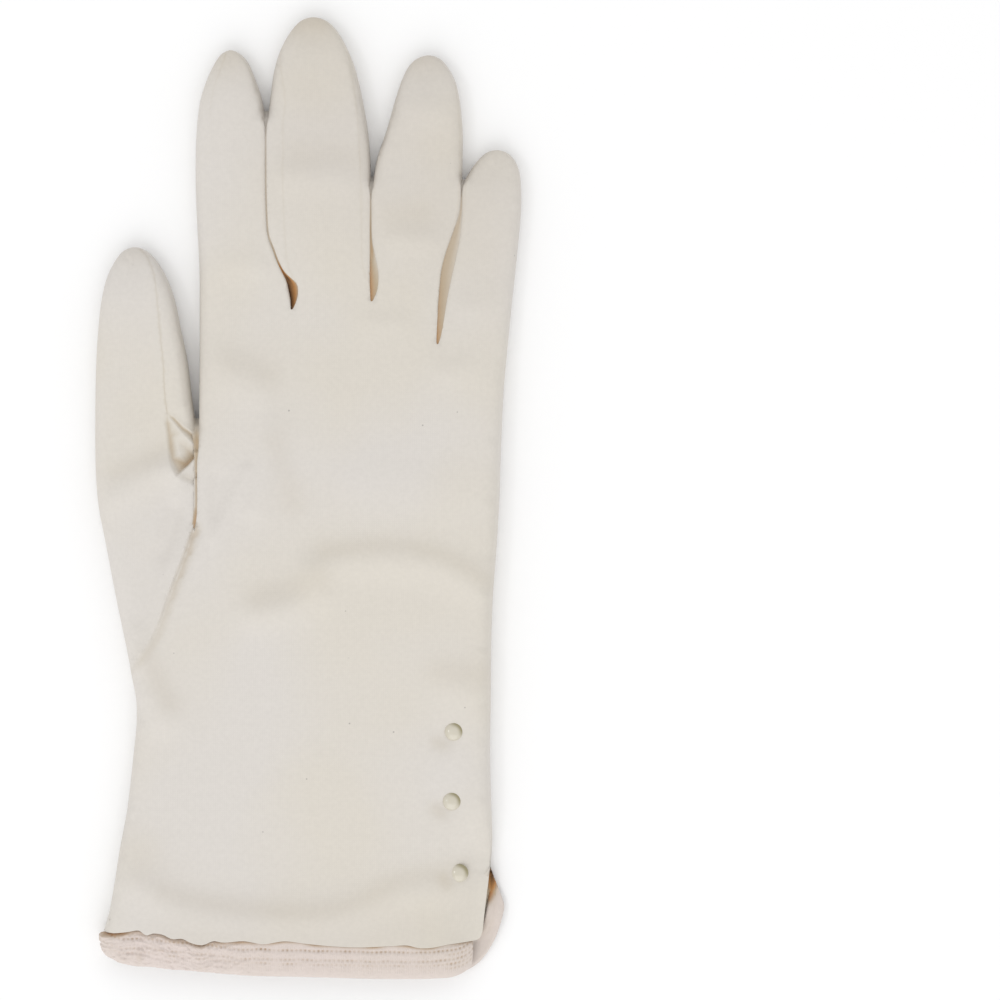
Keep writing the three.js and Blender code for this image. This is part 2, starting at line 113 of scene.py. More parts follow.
def smooth_line(points, steps=CURVE_STEPS):
    """Many points on a smooth curve through a few, as an array."""
    hand = np.array(points, float)
    last = len(hand) - 1
    share = np.linspace(0, 1, steps, endpoint=False)[:, None]
    pieces = []
    for i in range(last):
        p = hand[[max(i - 1, 0), i, i + 1, min(i + 2, last)]]
        gap = np.maximum(np.linalg.norm(np.diff(p, axis=0), axis=1), 1e-9) ** 0.5
        ahead = p[2] - p[1]
        leave = arrive = ahead
        if i > 0:
            leave = ahead + gap[1] * ((p[1] - p[0]) / gap[0] - (p[2] - p[0]) / (gap[0] + gap[1]))
        if i < last - 1:
            arrive = ahead + gap[1] * ((p[3] - p[2]) / gap[2] - (p[3] - p[1]) / (gap[1] + gap[2]))
        pieces.append(p[1] * (2 * share**3 - 3 * share**2 + 1) + leave * (share**3 - 2 * share**2 + share)
                      + p[2] * (3 * share**2 - 2 * share**3) + arrive * (share**3 - share**2))
    return np.concatenate(pieces + [hand[-1:]])


def spaced(line, apart=STEP, least=0.25, bend=0.35):
    """Indices of a line's points at about this far apart, and closer where it bends sharply."""
    kept = [0]
    travelled = 0.0
    turned = 0.0
    for i in range(1, len(line) - 1):
        before = line[i] - line[i - 1]
        after = line[i + 1] - line[i]
        travelled += np.linalg.norm(before)
        turned += abs(math.atan2(before[0] * after[1] - before[1] * after[0], before @ after))
        if travelled >= apart or (turned > bend and travelled >= least):
            kept.append(i)
            travelled = 0.0
            turned = 0.0
    return kept + [len(line) - 1]


def to_the_right(line):
    """Unit vectors to the right of a line, which is the inside of a clockwise outline."""
    along = np.gradient(line, axis=0)
    along /= np.linalg.norm(along, axis=1)[:, None]
    return np.stack([along[:, 1], -along[:, 0]], axis=1)


def evened(line, size):
    """A line of closely spaced places with its waves worked out over a number of them."""
    window = np.hanning(size + 2)[1:-1]
    window /= window.sum()
    half = size // 2
    before, after = 2 * line[0] - line[half:0:-1], 2 * line[-1] - line[-2:-half - 2:-1]
    padded = np.concatenate([before, line, after])
    return np.stack([np.convolve(column, window, "valid") for column in padded.T], axis=1)


# The edge as one line, with the rounding at each of its points.
corners = np.array([point for *_, points in OUTLINE.values() for point in points])
corner_round = np.concatenate([
    np.linspace(start, end, len(points)) for start, end, points in OUTLINE.values()])
corner_leg = [name for name, (*_, points) in OUTLINE.items() for _ in points]
dense = smooth_line(corners)
kept = spaced(dense)
border = dense[kept]
place = np.array(kept) / CURVE_STEPS
border_round = np.interp(place, np.arange(len(corners)), corner_round)
border_leg = np.array([corner_leg[int(p)] for p in place])
border_across = evened(to_the_right(dense), 9)[kept]
border_across /= np.linalg.norm(border_across, axis=1)[:, None]

# Sides that lie against each other are pressed flat where they touch, up to where they part.
FACING = [
    ("thumb, inner side", "index, outer side", 11),
    ("index, inner side", "middle, index side", 101),
    ("middle, ring side", "ring, middle side", 83),
    ("ring, little side", "little, ring side", 84),
]
PRESSED_ROUND = 0.25      # width of the rounding where they touch
ROUND_FOR_GAP = 0.06      # how much wider it is for a gap, times the gap squared
ROUND_APART = 3           # and for each mm of gap where the sides have parted
PARTING_HALF = 1.5        # how far on both sides of that place they part


def tree_of(points):
    tree = kdtree.KDTree(len(points))
    for i, point in enumerate(points):
        tree.insert((point[0], point[1], 0), i)
    tree.balance()
    return tree


def from_line(points, line):
    """Distance of each point from a line, which of its points is nearest, and on which side."""
    tree = tree_of(line)
    index = np.array([tree.find((x, y, 0))[1] for x, y in points])
    distance = np.full(len(points), np.inf)
    for first in (index - 1, index):
        a = np.clip(first, 0, len(line) - 2)
        run = line[a + 1] - line[a]
        share = np.clip(((points - line[a]) * run).sum(1) / np.maximum((run**2).sum(1), 1e-12), 0, 1)
        gap = np.linalg.norm(points - line[a] - run * share[:, None], axis=1)
        distance = np.minimum(distance, gap)
    side = np.sign(((points - line[index]) * to_the_right(line)[index]).sum(1))
    return distance, index, side


for first, second, parting in FACING:
    for leg, other in ((first, second), (second, first)):
        side = border[border_leg == leg]
        gap = from_line(side, border[border_leg == other])[0]
        apart = np.clip((side[:, 1] - parting + PARTING_HALF) / (2 * PARTING_HALF), 0, 1)
        pressed = PRESSED_ROUND + apart * ROUND_APART * gap + (1 - apart) * ROUND_FOR_GAP * gap**2
        border_round[border_leg == leg] = np.minimum(border_round[border_leg == leg], pressed)

# Strips between the fingers: how wide each leg is on the back, at places along the finger.
STRIPS = {
    "index, inner side": [(53, 0.3), (60, 0.7), (110, 0.8), (116, 0.3)],
    "middle, index side": [(57, 0.3), (60, 1.5), (64, 2.6), (70, 4.5), (107, 4.6), (114, 2.6),
                           (118, 1), (121, 0.3)],
    "middle, ring side": [(57, 0.3), (62, 2.2), (93, 2.7), (107, 1.8), (115, 1.3), (120, 0.3)],
    "ring, middle side": [(54, 0.3), (60, 0.7), (105, 0.7), (112, 0.3)],
    "ring, little side": [(49, 0.3), (60, 0.7), (105, 0.7), (112, 0.3)],
    "little, ring side": [(45, 0.3), (52, 0.7), (75, 0.7), (86, 0.7), (91, 0.3)],
}
STRIP_PALM_WIDTH = 1.6    # most of a strip's width on the palm side
STRIP_BACK_WIDTH = 9      # and on the back, more than any has there
strip_width = np.zeros(len(border))
strip_members = []
for leg, row in STRIPS.items():
    ys, widths = np.array(row).T
    members = np.flatnonzero((border_leg == leg) & (border[:, 1] >= ys[0]) & (border[:, 1] <= ys[-1]))
    strip_width[members] = np.interp(border[members, 1], ys, widths)
    strip_members.append(members)


def strip_lines(most):
    """The seams of the strips, at no more than a given distance from the fingers' edges."""
    return [evened(border[m] + border_across[m] * np.minimum(strip_width[m], most)[:, None], 5)
            for m in strip_members]


# Sewn seams that cross the back, with their points: how deep and wide each is pressed in, the
# height of the ridge beside it and on which side of its direction that lies, and how much painted
# shade lies in its groove at its start and at its end.
SEAMS = {
    "thumb, upper": (0.12, 0.22, 0.12, -1, 0.1, 0.16, [
        (-45.1, 66.6), (-43.5, 64.9), (-42.1, 62.2), (-41, 59), (-40.5, 55.8), (-39.7, 47.7),
        (-39.2, 42.3), (-38.6, 36.9), (-38.1, 27.4), (-37.45, 22.4)]),
    "thumb, lower": (0.05, 0.3, 0.9, -1, 0, 0.2, [
        (-47.6, -46), (-45.6, -43.9), (-43.2, -40.9), (-40.5, -36.3), (-38.9, -32.3), (-37.4, -27.9),
        (-36.2, -24.7), (-34.8, -20.9), (-33.1, -16.6), (-31.9, -13.1), (-31.05, -10.3),
        (-30.4, -8.6)]),
    "index tip": (0.08, 0.22, 0.05, 1, 0.06, 0.02, [
        (-22.2, 119.3), (-23.2, 115.7), (-24.3, 112.5), (-25.4, 108.4), (-26.2, 102.2)]),
}
SEAM_STEP = 0.6           # spacing of the points along them
seam_lines = {}
for name, row in SEAMS.items():
    line = smooth_line(row[-1])
    seam_lines[name] = line[spaced(line, SEAM_STEP)]

# Free edges from the top of the vent round to the left end of the hem, on the back and the palm.
BACK_EDGE = [
    (49, -100.8), (48.4, -104.5), (47.7, -110), (47.2, -114.5), (46.8, -117.6), (45.9, -119.2),
    (43.7, -119.6), (38.3, -120), (33.5, -120.8), (30, -120.8), (27, -120.1), (22, -120.3),
    (14, -120.6), (7, -120.3), (0, -119.6), (-6, -118.9), (-11.6, -119.7), (-17, -118.9),
    (-22.4, -119.3), (-25, -118.9), (-28, -120), (-30.8, -119.5), (-33.4, -118.3), (-36, -118.4),
    (-38.6, -117.2), (-41.3, -116.9), (-43, -117.4), (-45, -116.1), (-48, -116.5), (-52, -116.9),
]
PALM_EDGE = [
    (49.4, -100.8), (50.2, -104), (50.4, -109), (49.8, -114), (48.4, -117.8), (46, -119.6),
    (42, -120), (20, -120.2), (0, -119.6), (-20, -119), (-40, -117.8), (-52, -117),
]
PALM_STEP = 1.2           # spacing of the points along the palm's
back_free = smooth_line([border[-1], *BACK_EDGE, border[0]])
back_free = back_free[spaced(back_free)][1:-1]
palm_free = smooth_line([border[-1], *PALM_EDGE, border[0]])
palm_free = palm_free[spaced(palm_free, PALM_STEP)][1:-1]

# Back and palm are filled with points: a honeycomb, and rows beside the edge at these shares of
# its rounding's width.
GRAIN = 1.15              # spacing of the mesh over the back
PALM_GRAIN = 2.6          # over the palm side
WEB_GRAIN = 0.26          # and over the web of the thumb, which lies between two corners
WEB_CORNERS = ((-39, 2), (-29.7, 24.5))
CLEAR_OF_EDGE = 1.1       # the honeycomb stays this far off the edge
ROWS = [0.02, 0.07, 0.15, 0.26, 0.4, 0.57, 0.77, 1]
PALM_ROWS = [0.06, 0.22, 0.5, 1]
BESIDE_SEAMS = (0.3, 0.75)  # rows beside each seam, this far off it
PALM_BESIDE_SEAMS = (0.6,)  # and on the palm side
PALM_ROUND = 3.4          # width of the rounding on the palm side


def inside(points, outline):
    """Whether each point lies inside a closed outline."""
    x, y = np.asarray(points).T
    result = np.zeros(len(x), bool)
    for (ax, ay), (bx, by) in zip(outline, np.roll(outline, -1, axis=0)):
        if ay != by:
            result ^= ((ay > y) != (by > y)) & (x < (bx - ax) * (y - ay) / (by - ay) + ax)
    return result


def thinned(candidates, taken, least):
    """Those candidates that lie no nearer than least to the points already taken."""
    tree = tree_of(taken)
    away = np.array([tree.find((x, y, 0))[2] for x, y in candidates])
    return candidates[away >= least]


def hexagons(low, high, size):
    """Points of a honeycomb over a rectangle."""
    rows = []
    for j, y in enumerate(np.arange(low[1], high[1], size * 0.866)):
        x = np.arange(low[0] + size * 0.5 * (j % 2), high[0], size)
        rows.append(np.stack([x, np.full(len(x), y)], axis=1))
    return np.concatenate(rows)


def sheet_points(edge, lines, shares, widths, grain, fine, patch=None):
    """Places inside a sheet: rows along its edge, rows beside its lines, and a honeycomb."""
    places = [edge, *lines]
    for share in shares:
        offset = share * widths
        least = np.clip(0.28 * widths, 0.06, 0.28 + 0.35 * share)
        row = border + border_across * offset[:, None]
        gap = from_line(row, border)[0]
        fits = inside(row, edge) & (gap > offset * 0.9 - 0.02)
        places.append(thinned(row[fits], np.concatenate(places), least[fits]))
    for line in lines:
        for offset in fine:
            for side in (-1, 1):
                row = line + to_the_right(line) * offset * side
                row = row[inside(row, edge)]
                places.append(thinned(row, np.concatenate(places), 0.3))
    if patch is not None:
        places.append(thinned(patch[inside(patch, edge)], np.concatenate(places), WEB_GRAIN * 0.6))
    cloud = hexagons(edge.min(0), edge.max(0), grain)
    cloud = cloud[inside(cloud, edge) & (from_line(cloud, edge)[0] > CLEAR_OF_EDGE)]
    places.append(thinned(cloud, np.concatenate(places), grain * 0.62))
    return np.concatenate(places[1 + len(lines):])


def triangles(edge, lines, loose):
    """Triangles that fill a closed edge, with their sides along the lines."""
    start = len(edge)
    sides = []
    for line in lines:
        sides += [(start + i, start + i + 1) for i in range(len(line) - 1)]
        start += len(line)
    places = np.concatenate([edge, *lines, loose])
    found = delaunay_2d_cdt([Vector(c) for c in places], sides, [list(range(len(edge)))], 1, 1e-4)
    points = np.array([tuple(v) for v in found[0]])
    faces = np.array(found[2])
    a, b, c = points[faces[:, 0]], points[faces[:, 1]], points[faces[:, 2]]
    area = (b[:, 0] - a[:, 0]) * (c[:, 1] - a[:, 1]) - (b[:, 1] - a[:, 1]) * (c[:, 0] - a[:, 0])
    faces[area < 0] = faces[area < 0][:, ::-1]
    return points, faces[abs(area) > 1e-7]


back_edge = np.concatenate([border, back_free])
palm_edge = np.concatenate([border, palm_free])
back_lines = [*seam_lines.values(), *strip_lines(STRIP_BACK_WIDTH)]
palm_lines = [seam_lines["thumb, lower"], *strip_lines(STRIP_PALM_WIDTH)]
web_patch = hexagons(*WEB_CORNERS, WEB_GRAIN)
back_loose = sheet_points(back_edge, back_lines, ROWS, border_round, GRAIN, BESIDE_SEAMS, web_patch)
palm_loose = sheet_points(palm_edge, palm_lines, PALM_ROWS, np.full(len(border), PALM_ROUND),
                          PALM_GRAIN, PALM_BESIDE_SEAMS)
back, back_faces = triangles(back_edge, back_lines, back_loose)
palm, palm_faces = triangles(palm_edge, palm_lines, palm_loose)

SIDE_LEVEL = 3.8          # height of the fold where back and palm meet
PALM_HIGH = 10.2          # height of the back over the palm of the hand
CUFF_HIGH = 9.6
FINGER_HIGH = 8.3
THUMB_HIGH = 9.2
CUFF_TO_PALM = (-70, -20)  # places along the glove between which each height goes over into the next
PALM_TO_FINGERS = (12, 60)
HAND_TO_THUMB = (-20, 20)
TIP_DROP = 2.6            # how much lower the cloth lies at a fingertip
TIP_REACH = 9             # and how far that reaches
ROUNDNESS = 2.2           # 2 makes the rounding of the edges a quarter ellipse, and more is fuller
TIPS = [(-46.7, 67.4), (-21.1, 120.6), (1.4, 129.5), (32.7, 119.2), (50.8, 93.6)]
VENT_LINE = ((50.5, -99), (48.5, -122))
VENT_REACH = 9            # how far from the vent its two layers come together
VENT_DROP = 5.6           # how much lower the back lies there
# Part of the skin that the thumb takes, up to its seam.
THUMB_PART = [(-70, -46), *SEAMS["thumb, lower"][-1], (-29.8, -5), (-29.6, 0), (-29.6, 20), (-31.2, 40),
              (-33, 80), (-70, 80)]


def step(value, low, high):
    """0 up to low, 1 from high on, and a soft slope between."""
    share = np.clip((value - low) / (high - low), 0, 1)
    return share * share * (3 - 2 * share)


def bell(away, wide):
    """1 where away is 0, and falling to about a third of it one width off."""
    return np.exp(-((away / wide) ** 2))


def rolled(distance, width):
    """Share of the full height that a rounded edge has reached at a distance from it."""
    left = 1 - np.clip(distance / width, 0, 1)
    return (1 - left**ROUNDNESS) ** (1 / ROUNDNESS)


def wander(points, size, seed):
    """Gentle unevenness from -1 to 1 whose swells are about one size apart."""
    return np.array([noise.noise(Vector((x / size, y / size, seed))) for x, y in points])


def full_height(points):
    """Height of the back away from its edges."""
    high = CUFF_HIGH + (PALM_HIGH - CUFF_HIGH) * step(points[:, 1], *CUFF_TO_PALM)
    high += (FINGER_HIGH - PALM_HIGH) * step(points[:, 1], *PALM_TO_FINGERS)
    on_thumb = inside(points, THUMB_PART)
    high[on_thumb] = (high + (THUMB_HIGH - high) * step(points[:, 1], *HAND_TO_THUMB))[on_thumb]
    for tip in TIPS:
        high -= TIP_DROP * bell(np.linalg.norm(points - tip, axis=1), TIP_REACH)
    near_vent = from_line(points, np.array(VENT_LINE))[0]
    return high - VENT_DROP * bell(near_vent, VENT_REACH)


# Soft swells of the back, and dents where the height is negative: width, height, and the line that
# each follows.
SWELLS = {
    "across the palm": (4.6, 1.7, [(2, -19.5), (12, -17.6), (24.8, -17.2), (38, -19.5), (49, -26)]),
    "its left end": (5, 1.5, [(-13, -31.5), (-4, -29.5), (3, -26)]),
    "upright in the palm": (3.6, 1.1, [(-9.5, 18), (-11, 6), (-13.4, -3)]),
    "beside the thumb": (2.2, -0.7, [(-23.5, 5), (-25, -4)]),
    "right of that": (1.8, 0.7, [(-24.5, -11), (-20, -2), (-16, 7)]),
    "over the middle of the palm": (8, 0.7, [(15, 4), (45, 1)]),
    "below the index": (4, 1, [(-27, 37.5), (-19, 33.5), (-12, 29.5)]),
    "below it again": (3.5, 0.6, [(-21, 29.5), (-12, 25)]),
    "across the thumb": (4, 1.7, [(-53, -1), (-46, 3), (-40, 6.5), (-35, 7)]),
    "thumb valley": (2.6, -1.3, [(-35.4, -3.6), (-37.8, -12), (-41.6, -18.8), (-43.7, -25.2),
                                 (-45.4, -32)]),
    "thumb ridge": (2, 0.6, [(-32.5, -8), (-37.6, -23), (-45, -40)]),
    "wrist": (4.2, 1.4, [(-46, -43), (-43, -52), (-38, -60)]),
    "middle finger": (4.6, 1, [(-7, 86), (9, 86)]),
    "index finger": (4, 0.6, [(-22, 62), (-13, 62)]),
    "ring finger": (3.8, 0.9, [(24, 69), (32, 69)]),
    "ring finger, across": (4, 0.8, [(25, 104.5), (37, 103.5)]),
    "little finger": (3.5, 0.5, [(42, 51), (53, 51)]),
    "ring crotch": (3.6, 0.6, [(37, 33), (44, 34)]),
    "middle crotch": (3.5, 0.5, [(18, 46), (24, 46.5)]),
    "over the buttons": (4.5, 0.9, [(39, -51), (46, -53)]),
    "above the hem": (4, 1.2, [(-46, -104), (-32, -111), (-13, -113.5), (8, -112.5), (22, -107.5),
                               (40, -104)]),
    "first button": (3, -0.9, [(36.8, -64.6), (38, -64.2)]),
    "second button": (3, -0.9, [(36.4, -83.2), (37.6, -82.8)]),
    "third button": (3, -0.9, [(38.4, -102.6), (39.6, -102.2)]),
}
UNEVENNESS = [(0.22, 26), (0.09, 11), (0.03, 4)]  # heights and sizes of the small swells all over
SWELLS_FROM = (0.5, 5)    # distances from the edge between which all swells rise to their height

distance, nearest_border, _ = from_line(back, border)
high = full_height(back)
back_z = SIDE_LEVEL + (high - SIDE_LEVEL) * rolled(distance, border_round[nearest_border])
flat_share = step(distance, *SWELLS_FROM)
for wide, swell, path in SWELLS.values():
    away = from_line(back, smooth_line(path))[0]
    back_z += swell * flat_share * bell(away, wide)
back_z += flat_share * sum(rise * wander(back, size, seed)
                           for seed, (rise, size) in enumerate(UNEVENNESS, 1))

ends = np.concatenate([back_faces[:, [0, 1]], back_faces[:, [1, 2]], back_faces[:, [2, 0]]])
neighbours = np.bincount(ends.ravel(), minlength=len(back))


def smoothed(values, times, share=1):
    """Values at the points of the back, each drawn halfway to its neighbours' mean some times."""
    for _ in range(times):
        total = np.bincount(ends[:, 0], values[ends[:, 1]], len(back))
        total += np.bincount(ends[:, 1], values[ends[:, 0]], len(back))
        values = values + 0.5 * share * (total / neighbours - values)
    return values


# The sharp folds where two sides of a fingertip meet are worked smooth.
round_there = step(border_round[nearest_border], 1, 2.5)
back_z = smoothed(back_z, 8, round_there * step(distance, 0.4, 1.6))

# Seams are pressed in, deeper towards their end, and the cloth beside them stands up a little.
RIDGE_AWAY = 0.5          # how far from the seam it stands up most
RIDGE_WIDE = 0.38
STRIP_GROOVE = (0.05, 0.2)  # how deep and wide the seams of the strips are pressed in
STRIP_SHADE = 0.05
# Painted shade at each point of the back: in seam grooves, the hollow, the web's creases, tips and folds.
painted_shade = np.zeros(len(back))
near_edge = step(distance, 0.1, 2)
for (name, line), row in zip(seam_lines.items(), SEAMS.values()):
    deep, wide, ridge, ridge_side, shade_start, shade_end, _ = row
    away, at, side = from_line(back, line)
    along = at / len(line)
    groove = bell(away, wide)
    beside = bell(away - RIDGE_AWAY, RIDGE_WIDE) * (side == ridge_side)
    back_z += near_edge * (0.35 + 0.65 * along) * (ridge * beside - deep * groove)
    painted_shade = np.maximum(painted_shade, groove * (shade_start + (shade_end - shade_start) * along))
for line in strip_lines(STRIP_BACK_WIDTH):
    groove = bell(from_line(back, line)[0], STRIP_GROOVE[1])
    back_z -= step(distance, 0.3, 1.5) * STRIP_GROOVE[0] * groove
    painted_shade = np.maximum(painted_shade, groove * STRIP_SHADE)

# The cloth right of the thumb's seam lies in a narrow hollow that fades out down the seam, with painted
# shade in it.
HOLLOW_DEEP = 0.6
HOLLOW_AWAY = 1.1         # its middle is this far from the seam
HOLLOW_WIDE = 0.9
HOLLOW_SHADE = 0.28
away, at, side = from_line(back, seam_lines["thumb, lower"])
along = at / len(seam_lines["thumb, lower"])
hollow = bell(away - HOLLOW_AWAY, HOLLOW_WIDE) * (side == 1) * (0.2 + 0.8 * along)
back_z -= near_edge * HOLLOW_DEEP * hollow
painted_shade = np.maximum(painted_shade, HOLLOW_SHADE * hollow)

# Web between thumb and hand, where the gusset lies creased into facets: lines of places, each with
# its height over the smooth back, and how much painted shade lies along the line.
WEB = {
    "edge of the upper fold": (0.05, [
        (-37.45, 22.4, -0.3), (-35.55, 21.35, 0.1), (-33.1, 18.8, 0.3), (-31.6, 17.8, 0.3),
        (-30.3, 16.7, 0.1), (-29.5, 15.6, -0.2)]),
    "under the upper fold": (0.3, [
        (-37.45, 22.4, -0.3), (-35.75, 21, -0.35), (-33.35, 18.35, -0.6), (-31.85, 17.35, -0.9),
        (-30.55, 16.1, -1.3), (-29.5, 14.9, -1.5)]),
    "ridge": (0, [
        (-37.1, 21.2, -0.1), (-35.8, 19.8, 0.05), (-33.6, 17.2, 0.2), (-32.3, 15.9, 0.25),
        (-31.2, 14.8, 0.1), (-29.5, 13.7, -0.3)]),
    "left crease": (0.24, [
        (-37.45, 22.4, -0.3), (-37.35, 19.7, -0.45), (-36.8, 16.2, -0.6), (-36.4, 12.7, -0.7),
        (-35.9, 10.2, -0.9), (-34, 6.8, -1.8)]),
    "face of the gusset": (0, [(-35, 15.5, -0.1), (-34.2, 11.5, -0.35)]),
    "shaded face": (0.18, [(-32.2, 12.6, -0.7), (-30.6, 12.2, -1.1), (-29.5, 12, -1.3)]),
    "under the lower fold": (0.42, [
        (-34, 6.8, -1.8), (-32.1, 8.55, -1.6), (-30.5, 10.35, -1.8), (-29.5, 11, -1.7)]),
    "edge of the lower fold": (0.05, [
        (-33.6, 6.3, -0.5), (-31.85, 8.1, 0), (-30.3, 9.9, 0.1), (-29.5, 10.4, -0.1)]),
    "lower face": (0, [(-30.9, 7, 0.05)]),
    "lower crease": (0.12, [(-33.6, 6.3, -0.5), (-32.3, 5, -0.35), (-31.1, 4.5, -0.35), (-29.5, 4, -0.6)]),
    "surround": (0, [
        (-29.5, 18.2, 0), (-31.2, 19.2, 0), (-32.8, 20.2, 0), (-35.2, 22.6, 0), (-37.3, 23.9, 0),
        (-38.5, 22.6, 0), (-38.4, 19.7, 0), (-37.8, 16.2, 0), (-37.4, 12.5, 0), (-36.9, 9.4, 0),
        (-35, 5.2, 0), (-31.4, 3.2, 0), (-29.5, 2.6, 0)]),
}
WEB_RIGHT = -29.4         # the facets end here, at the gap beside the thumb
web_places = np.array([place for _, places in WEB.values() for place in places])
web_shade_amount = np.concatenate([np.full(len(places), shade_amount) for shade_amount, places in WEB.values()])
web_sides = []
start = 0
for _, places in WEB.values():
    web_sides += [(start + i, start + i + 1) for i in range(len(places) - 1)]
    start += len(places)
found = delaunay_2d_cdt([Vector(place[:2]) for place in web_places], web_sides, [], 0, 1e-4)
facet_points = np.array([tuple(v) for v in found[0]])
facet_from = [origins[0] for origins in found[3]]
web_z = np.zeros(len(back))
web_shade = np.zeros(len(back))
for facet in found[2]:
    a, b, c = facet_points[facet]
    sides = np.column_stack([b - a, c - a])
    if abs(np.linalg.det(sides)) > 1e-9:
        share = np.linalg.solve(sides, (back - a).T).T
        weights = np.column_stack([1 - share.sum(1), share])
        within = (weights > -1e-6).all(1) & (distance > 0.05) & (back[:, 0] < WEB_RIGHT)
        origins = [facet_from[corner] for corner in facet]
        web_z[within] = weights[within] @ web_places[origins, 2]
        web_shade[within] = weights[within] @ web_shade_amount[origins]
back_z += smoothed(web_z, 1)
painted_shade = np.maximum(painted_shade, web_shade)

# Painted shade at the fingertips, along the soft folds, over the cuff and in the dimples beside the
# buttons: how far it reaches, how dark it is, and the line that each follows.
PAINTED_SHADE_PLACES = {
    "middle fingertip": (6, 0.13, [(-3, 128), (3, 128.4)]),
    "middle finger": (22, 0.07, [(1, 96), (3, 106)]),
    "across the middle finger": (4, 0.03, [(-2, 92.5), (12, 91)]),
    "ring fingertip": (6, 0.1, [(30, 118.4), (34, 118.6)]),
    "ring finger": (20, 0.05, [(29, 80), (31, 100)]),
    "across the ring finger": (4, 0.04, [(24, 76), (30, 76)]),
    "little finger": (22, 0.06, [(50, 70), (50, 78)]),
    "index fingertip": (5, 0.09, [(-22, 119), (-20, 119.4)]),
    "thumb tip": (4, 0.06, [(-48, 66), (-45, 66.4)]),
    "across the palm": (2.6, 0.05, [(5, -14.2), (14, -13.2), (26, -13), (37, -16), (49, -23.4)]),
    "its left end": (4.4, 0.06, [(-12, -26.5), (-5, -24.5), (2, -22)]),
    "upright in the palm": (3.8, 0.05, [(-8.4, 14.5), (-6, 6), (-3.6, -2)]),
    "below the index": (4.6, 0.045, [(-20.5, 36), (-16, 35.5), (-11, 33.5)]),
    "across the thumb": (2.8, 0.05, [(-51, 7), (-43, 9.6), (-37, 13.4)]),
    "wrist": (3.4, 0.06, [(-43, -43.5), (-40, -49), (-37, -55)]),
    "above the hem": (2.8, 0.045, [(-38, -106), (-18.4, -109.8), (3.2, -111), (14, -108.4),
                                  (24.8, -102.6), (40, -100)]),
    "left of the cuff": (7, 0.05, [(-45, -96), (-43, -101)]),
    "cuff": (14, 0.07, [(-30, -119), (30, -119)]),
    "over the buttons": (4.4, 0.05, [(36, -46.5), (46, -47)]),
    "first button": (1.9, 0.1, [(35, -66), (36.5, -66.6)]),
    "second button": (1.9, 0.1, [(34.6, -83.6), (36, -84.6)]),
    "third button": (1.9, 0.1, [(36.6, -102.6), (37.6, -103.8)]),
}
for reach, dark, path in PAINTED_SHADE_PLACES.values():
    painted_shade += dark * bell(from_line(back, smooth_line(path))[0], reach)

# The palm is flat and rounded at its sides, and lifts at the vent.
VENT_LIFT = 1.7
palm_distance, palm_nearest, _ = from_line(palm, border)
palm_z = SIDE_LEVEL * (1 - rolled(palm_distance, np.full(len(palm), PALM_ROUND)))
near_vent = from_line(palm, np.array(VENT_LINE))[0]
palm_z += VENT_LIFT * bell(near_vent, VENT_REACH) * step(palm_distance, 0, 3)

# Painted shade in the gap at the top of the vent, where its two sides part: the line that it
# follows, its width, and how strong it is at some heights.
VENT_SHADE_LINE = [(49.4, -100.8), (49.8, -103.5), (49.2, -107), (48, -110)]
VENT_SHADE_WIDE = 1.5
VENT_SHADE_STRENGTH = [(-111, 0.1), (-109, 0.5), (-106.5, 0.62), (-104, 0.85), (-101, 1)]


def shade_at_vent(points):
    """How much painted shade lies where the vent's two sides part."""
    strength = np.interp(points[:, 1], *np.array(VENT_SHADE_STRENGTH).T)
    return strength * bell(from_line(points, smooth_line(VENT_SHADE_LINE))[0], VENT_SHADE_WIDE)


def weave_places(points, distance, index, width, rise):
    """Places on the cloth as it was before it was rolled over at the edges, in mm."""
    steps = distance + (np.maximum(width, distance) - distance) * np.linspace(0, 1, 24)[:, None]
    heights = rise * rolled(steps, width)
    run = np.sqrt(np.diff(steps, axis=0) ** 2 + np.diff(heights, axis=0) ** 2).sum(0)
    extra = run - (steps[-1] - steps[0])
    return points - border_across[index] * extra[:, None]


back_weave = weave_places(back, distance, nearest_border, border_round[nearest_border], high - SIDE_LEVEL)
palm_weave = weave_places(palm, palm_distance, palm_nearest, np.full(len(palm), PALM_ROUND),
                          np.full(len(palm), SIDE_LEVEL))

# Back and palm become one skin, joined at their sides.
places = tree_of(back)
same = np.array([places.find((x, y, 0))[1] for x, y in palm])
joined = (palm_distance < 1e-4) & (np.linalg.norm(back[same] - palm, axis=1) < 1e-3)
palm_index = np.where(joined, same, np.arange(len(palm)) + len(back))
skin = np.concatenate([np.column_stack([back, back_z]), np.column_stack([palm, palm_z])])
skin_faces = np.concatenate([back_faces, palm_index[palm_faces[:, ::-1]]])
skin_weave = np.concatenate([back_weave[back_faces], palm_weave[palm_faces[:, ::-1]]])
skin_shade = np.concatenate([painted_shade, shade_at_vent(palm)])
is_back = np.arange(len(skin_faces)) < len(back_faces)
middles = skin[skin_faces].mean(1)[:, :2]


def normals_of(points, faces):
    """Unit normal at each point, from the faces round it."""
    a, b, c = points[faces[:, 0]], points[faces[:, 1]], points[faces[:, 2]]
    normal = np.cross(b - a, c - a)
    total = np.stack([
        np.bincount(faces.ravel(), np.repeat(normal[:, k], 3), len(points)) for k in range(3)], axis=1)
    return total / np.maximum(np.linalg.norm(total, axis=1), 1e-12)[:, None]


def row_faces(upper, lower):
    """Faces between two rows of points, two at each step."""
    return np.concatenate([np.stack([upper[:-1], lower[1:], lower[:-1]], axis=1),
                           np.stack([upper[:-1], upper[1:], lower[1:]], axis=1)])


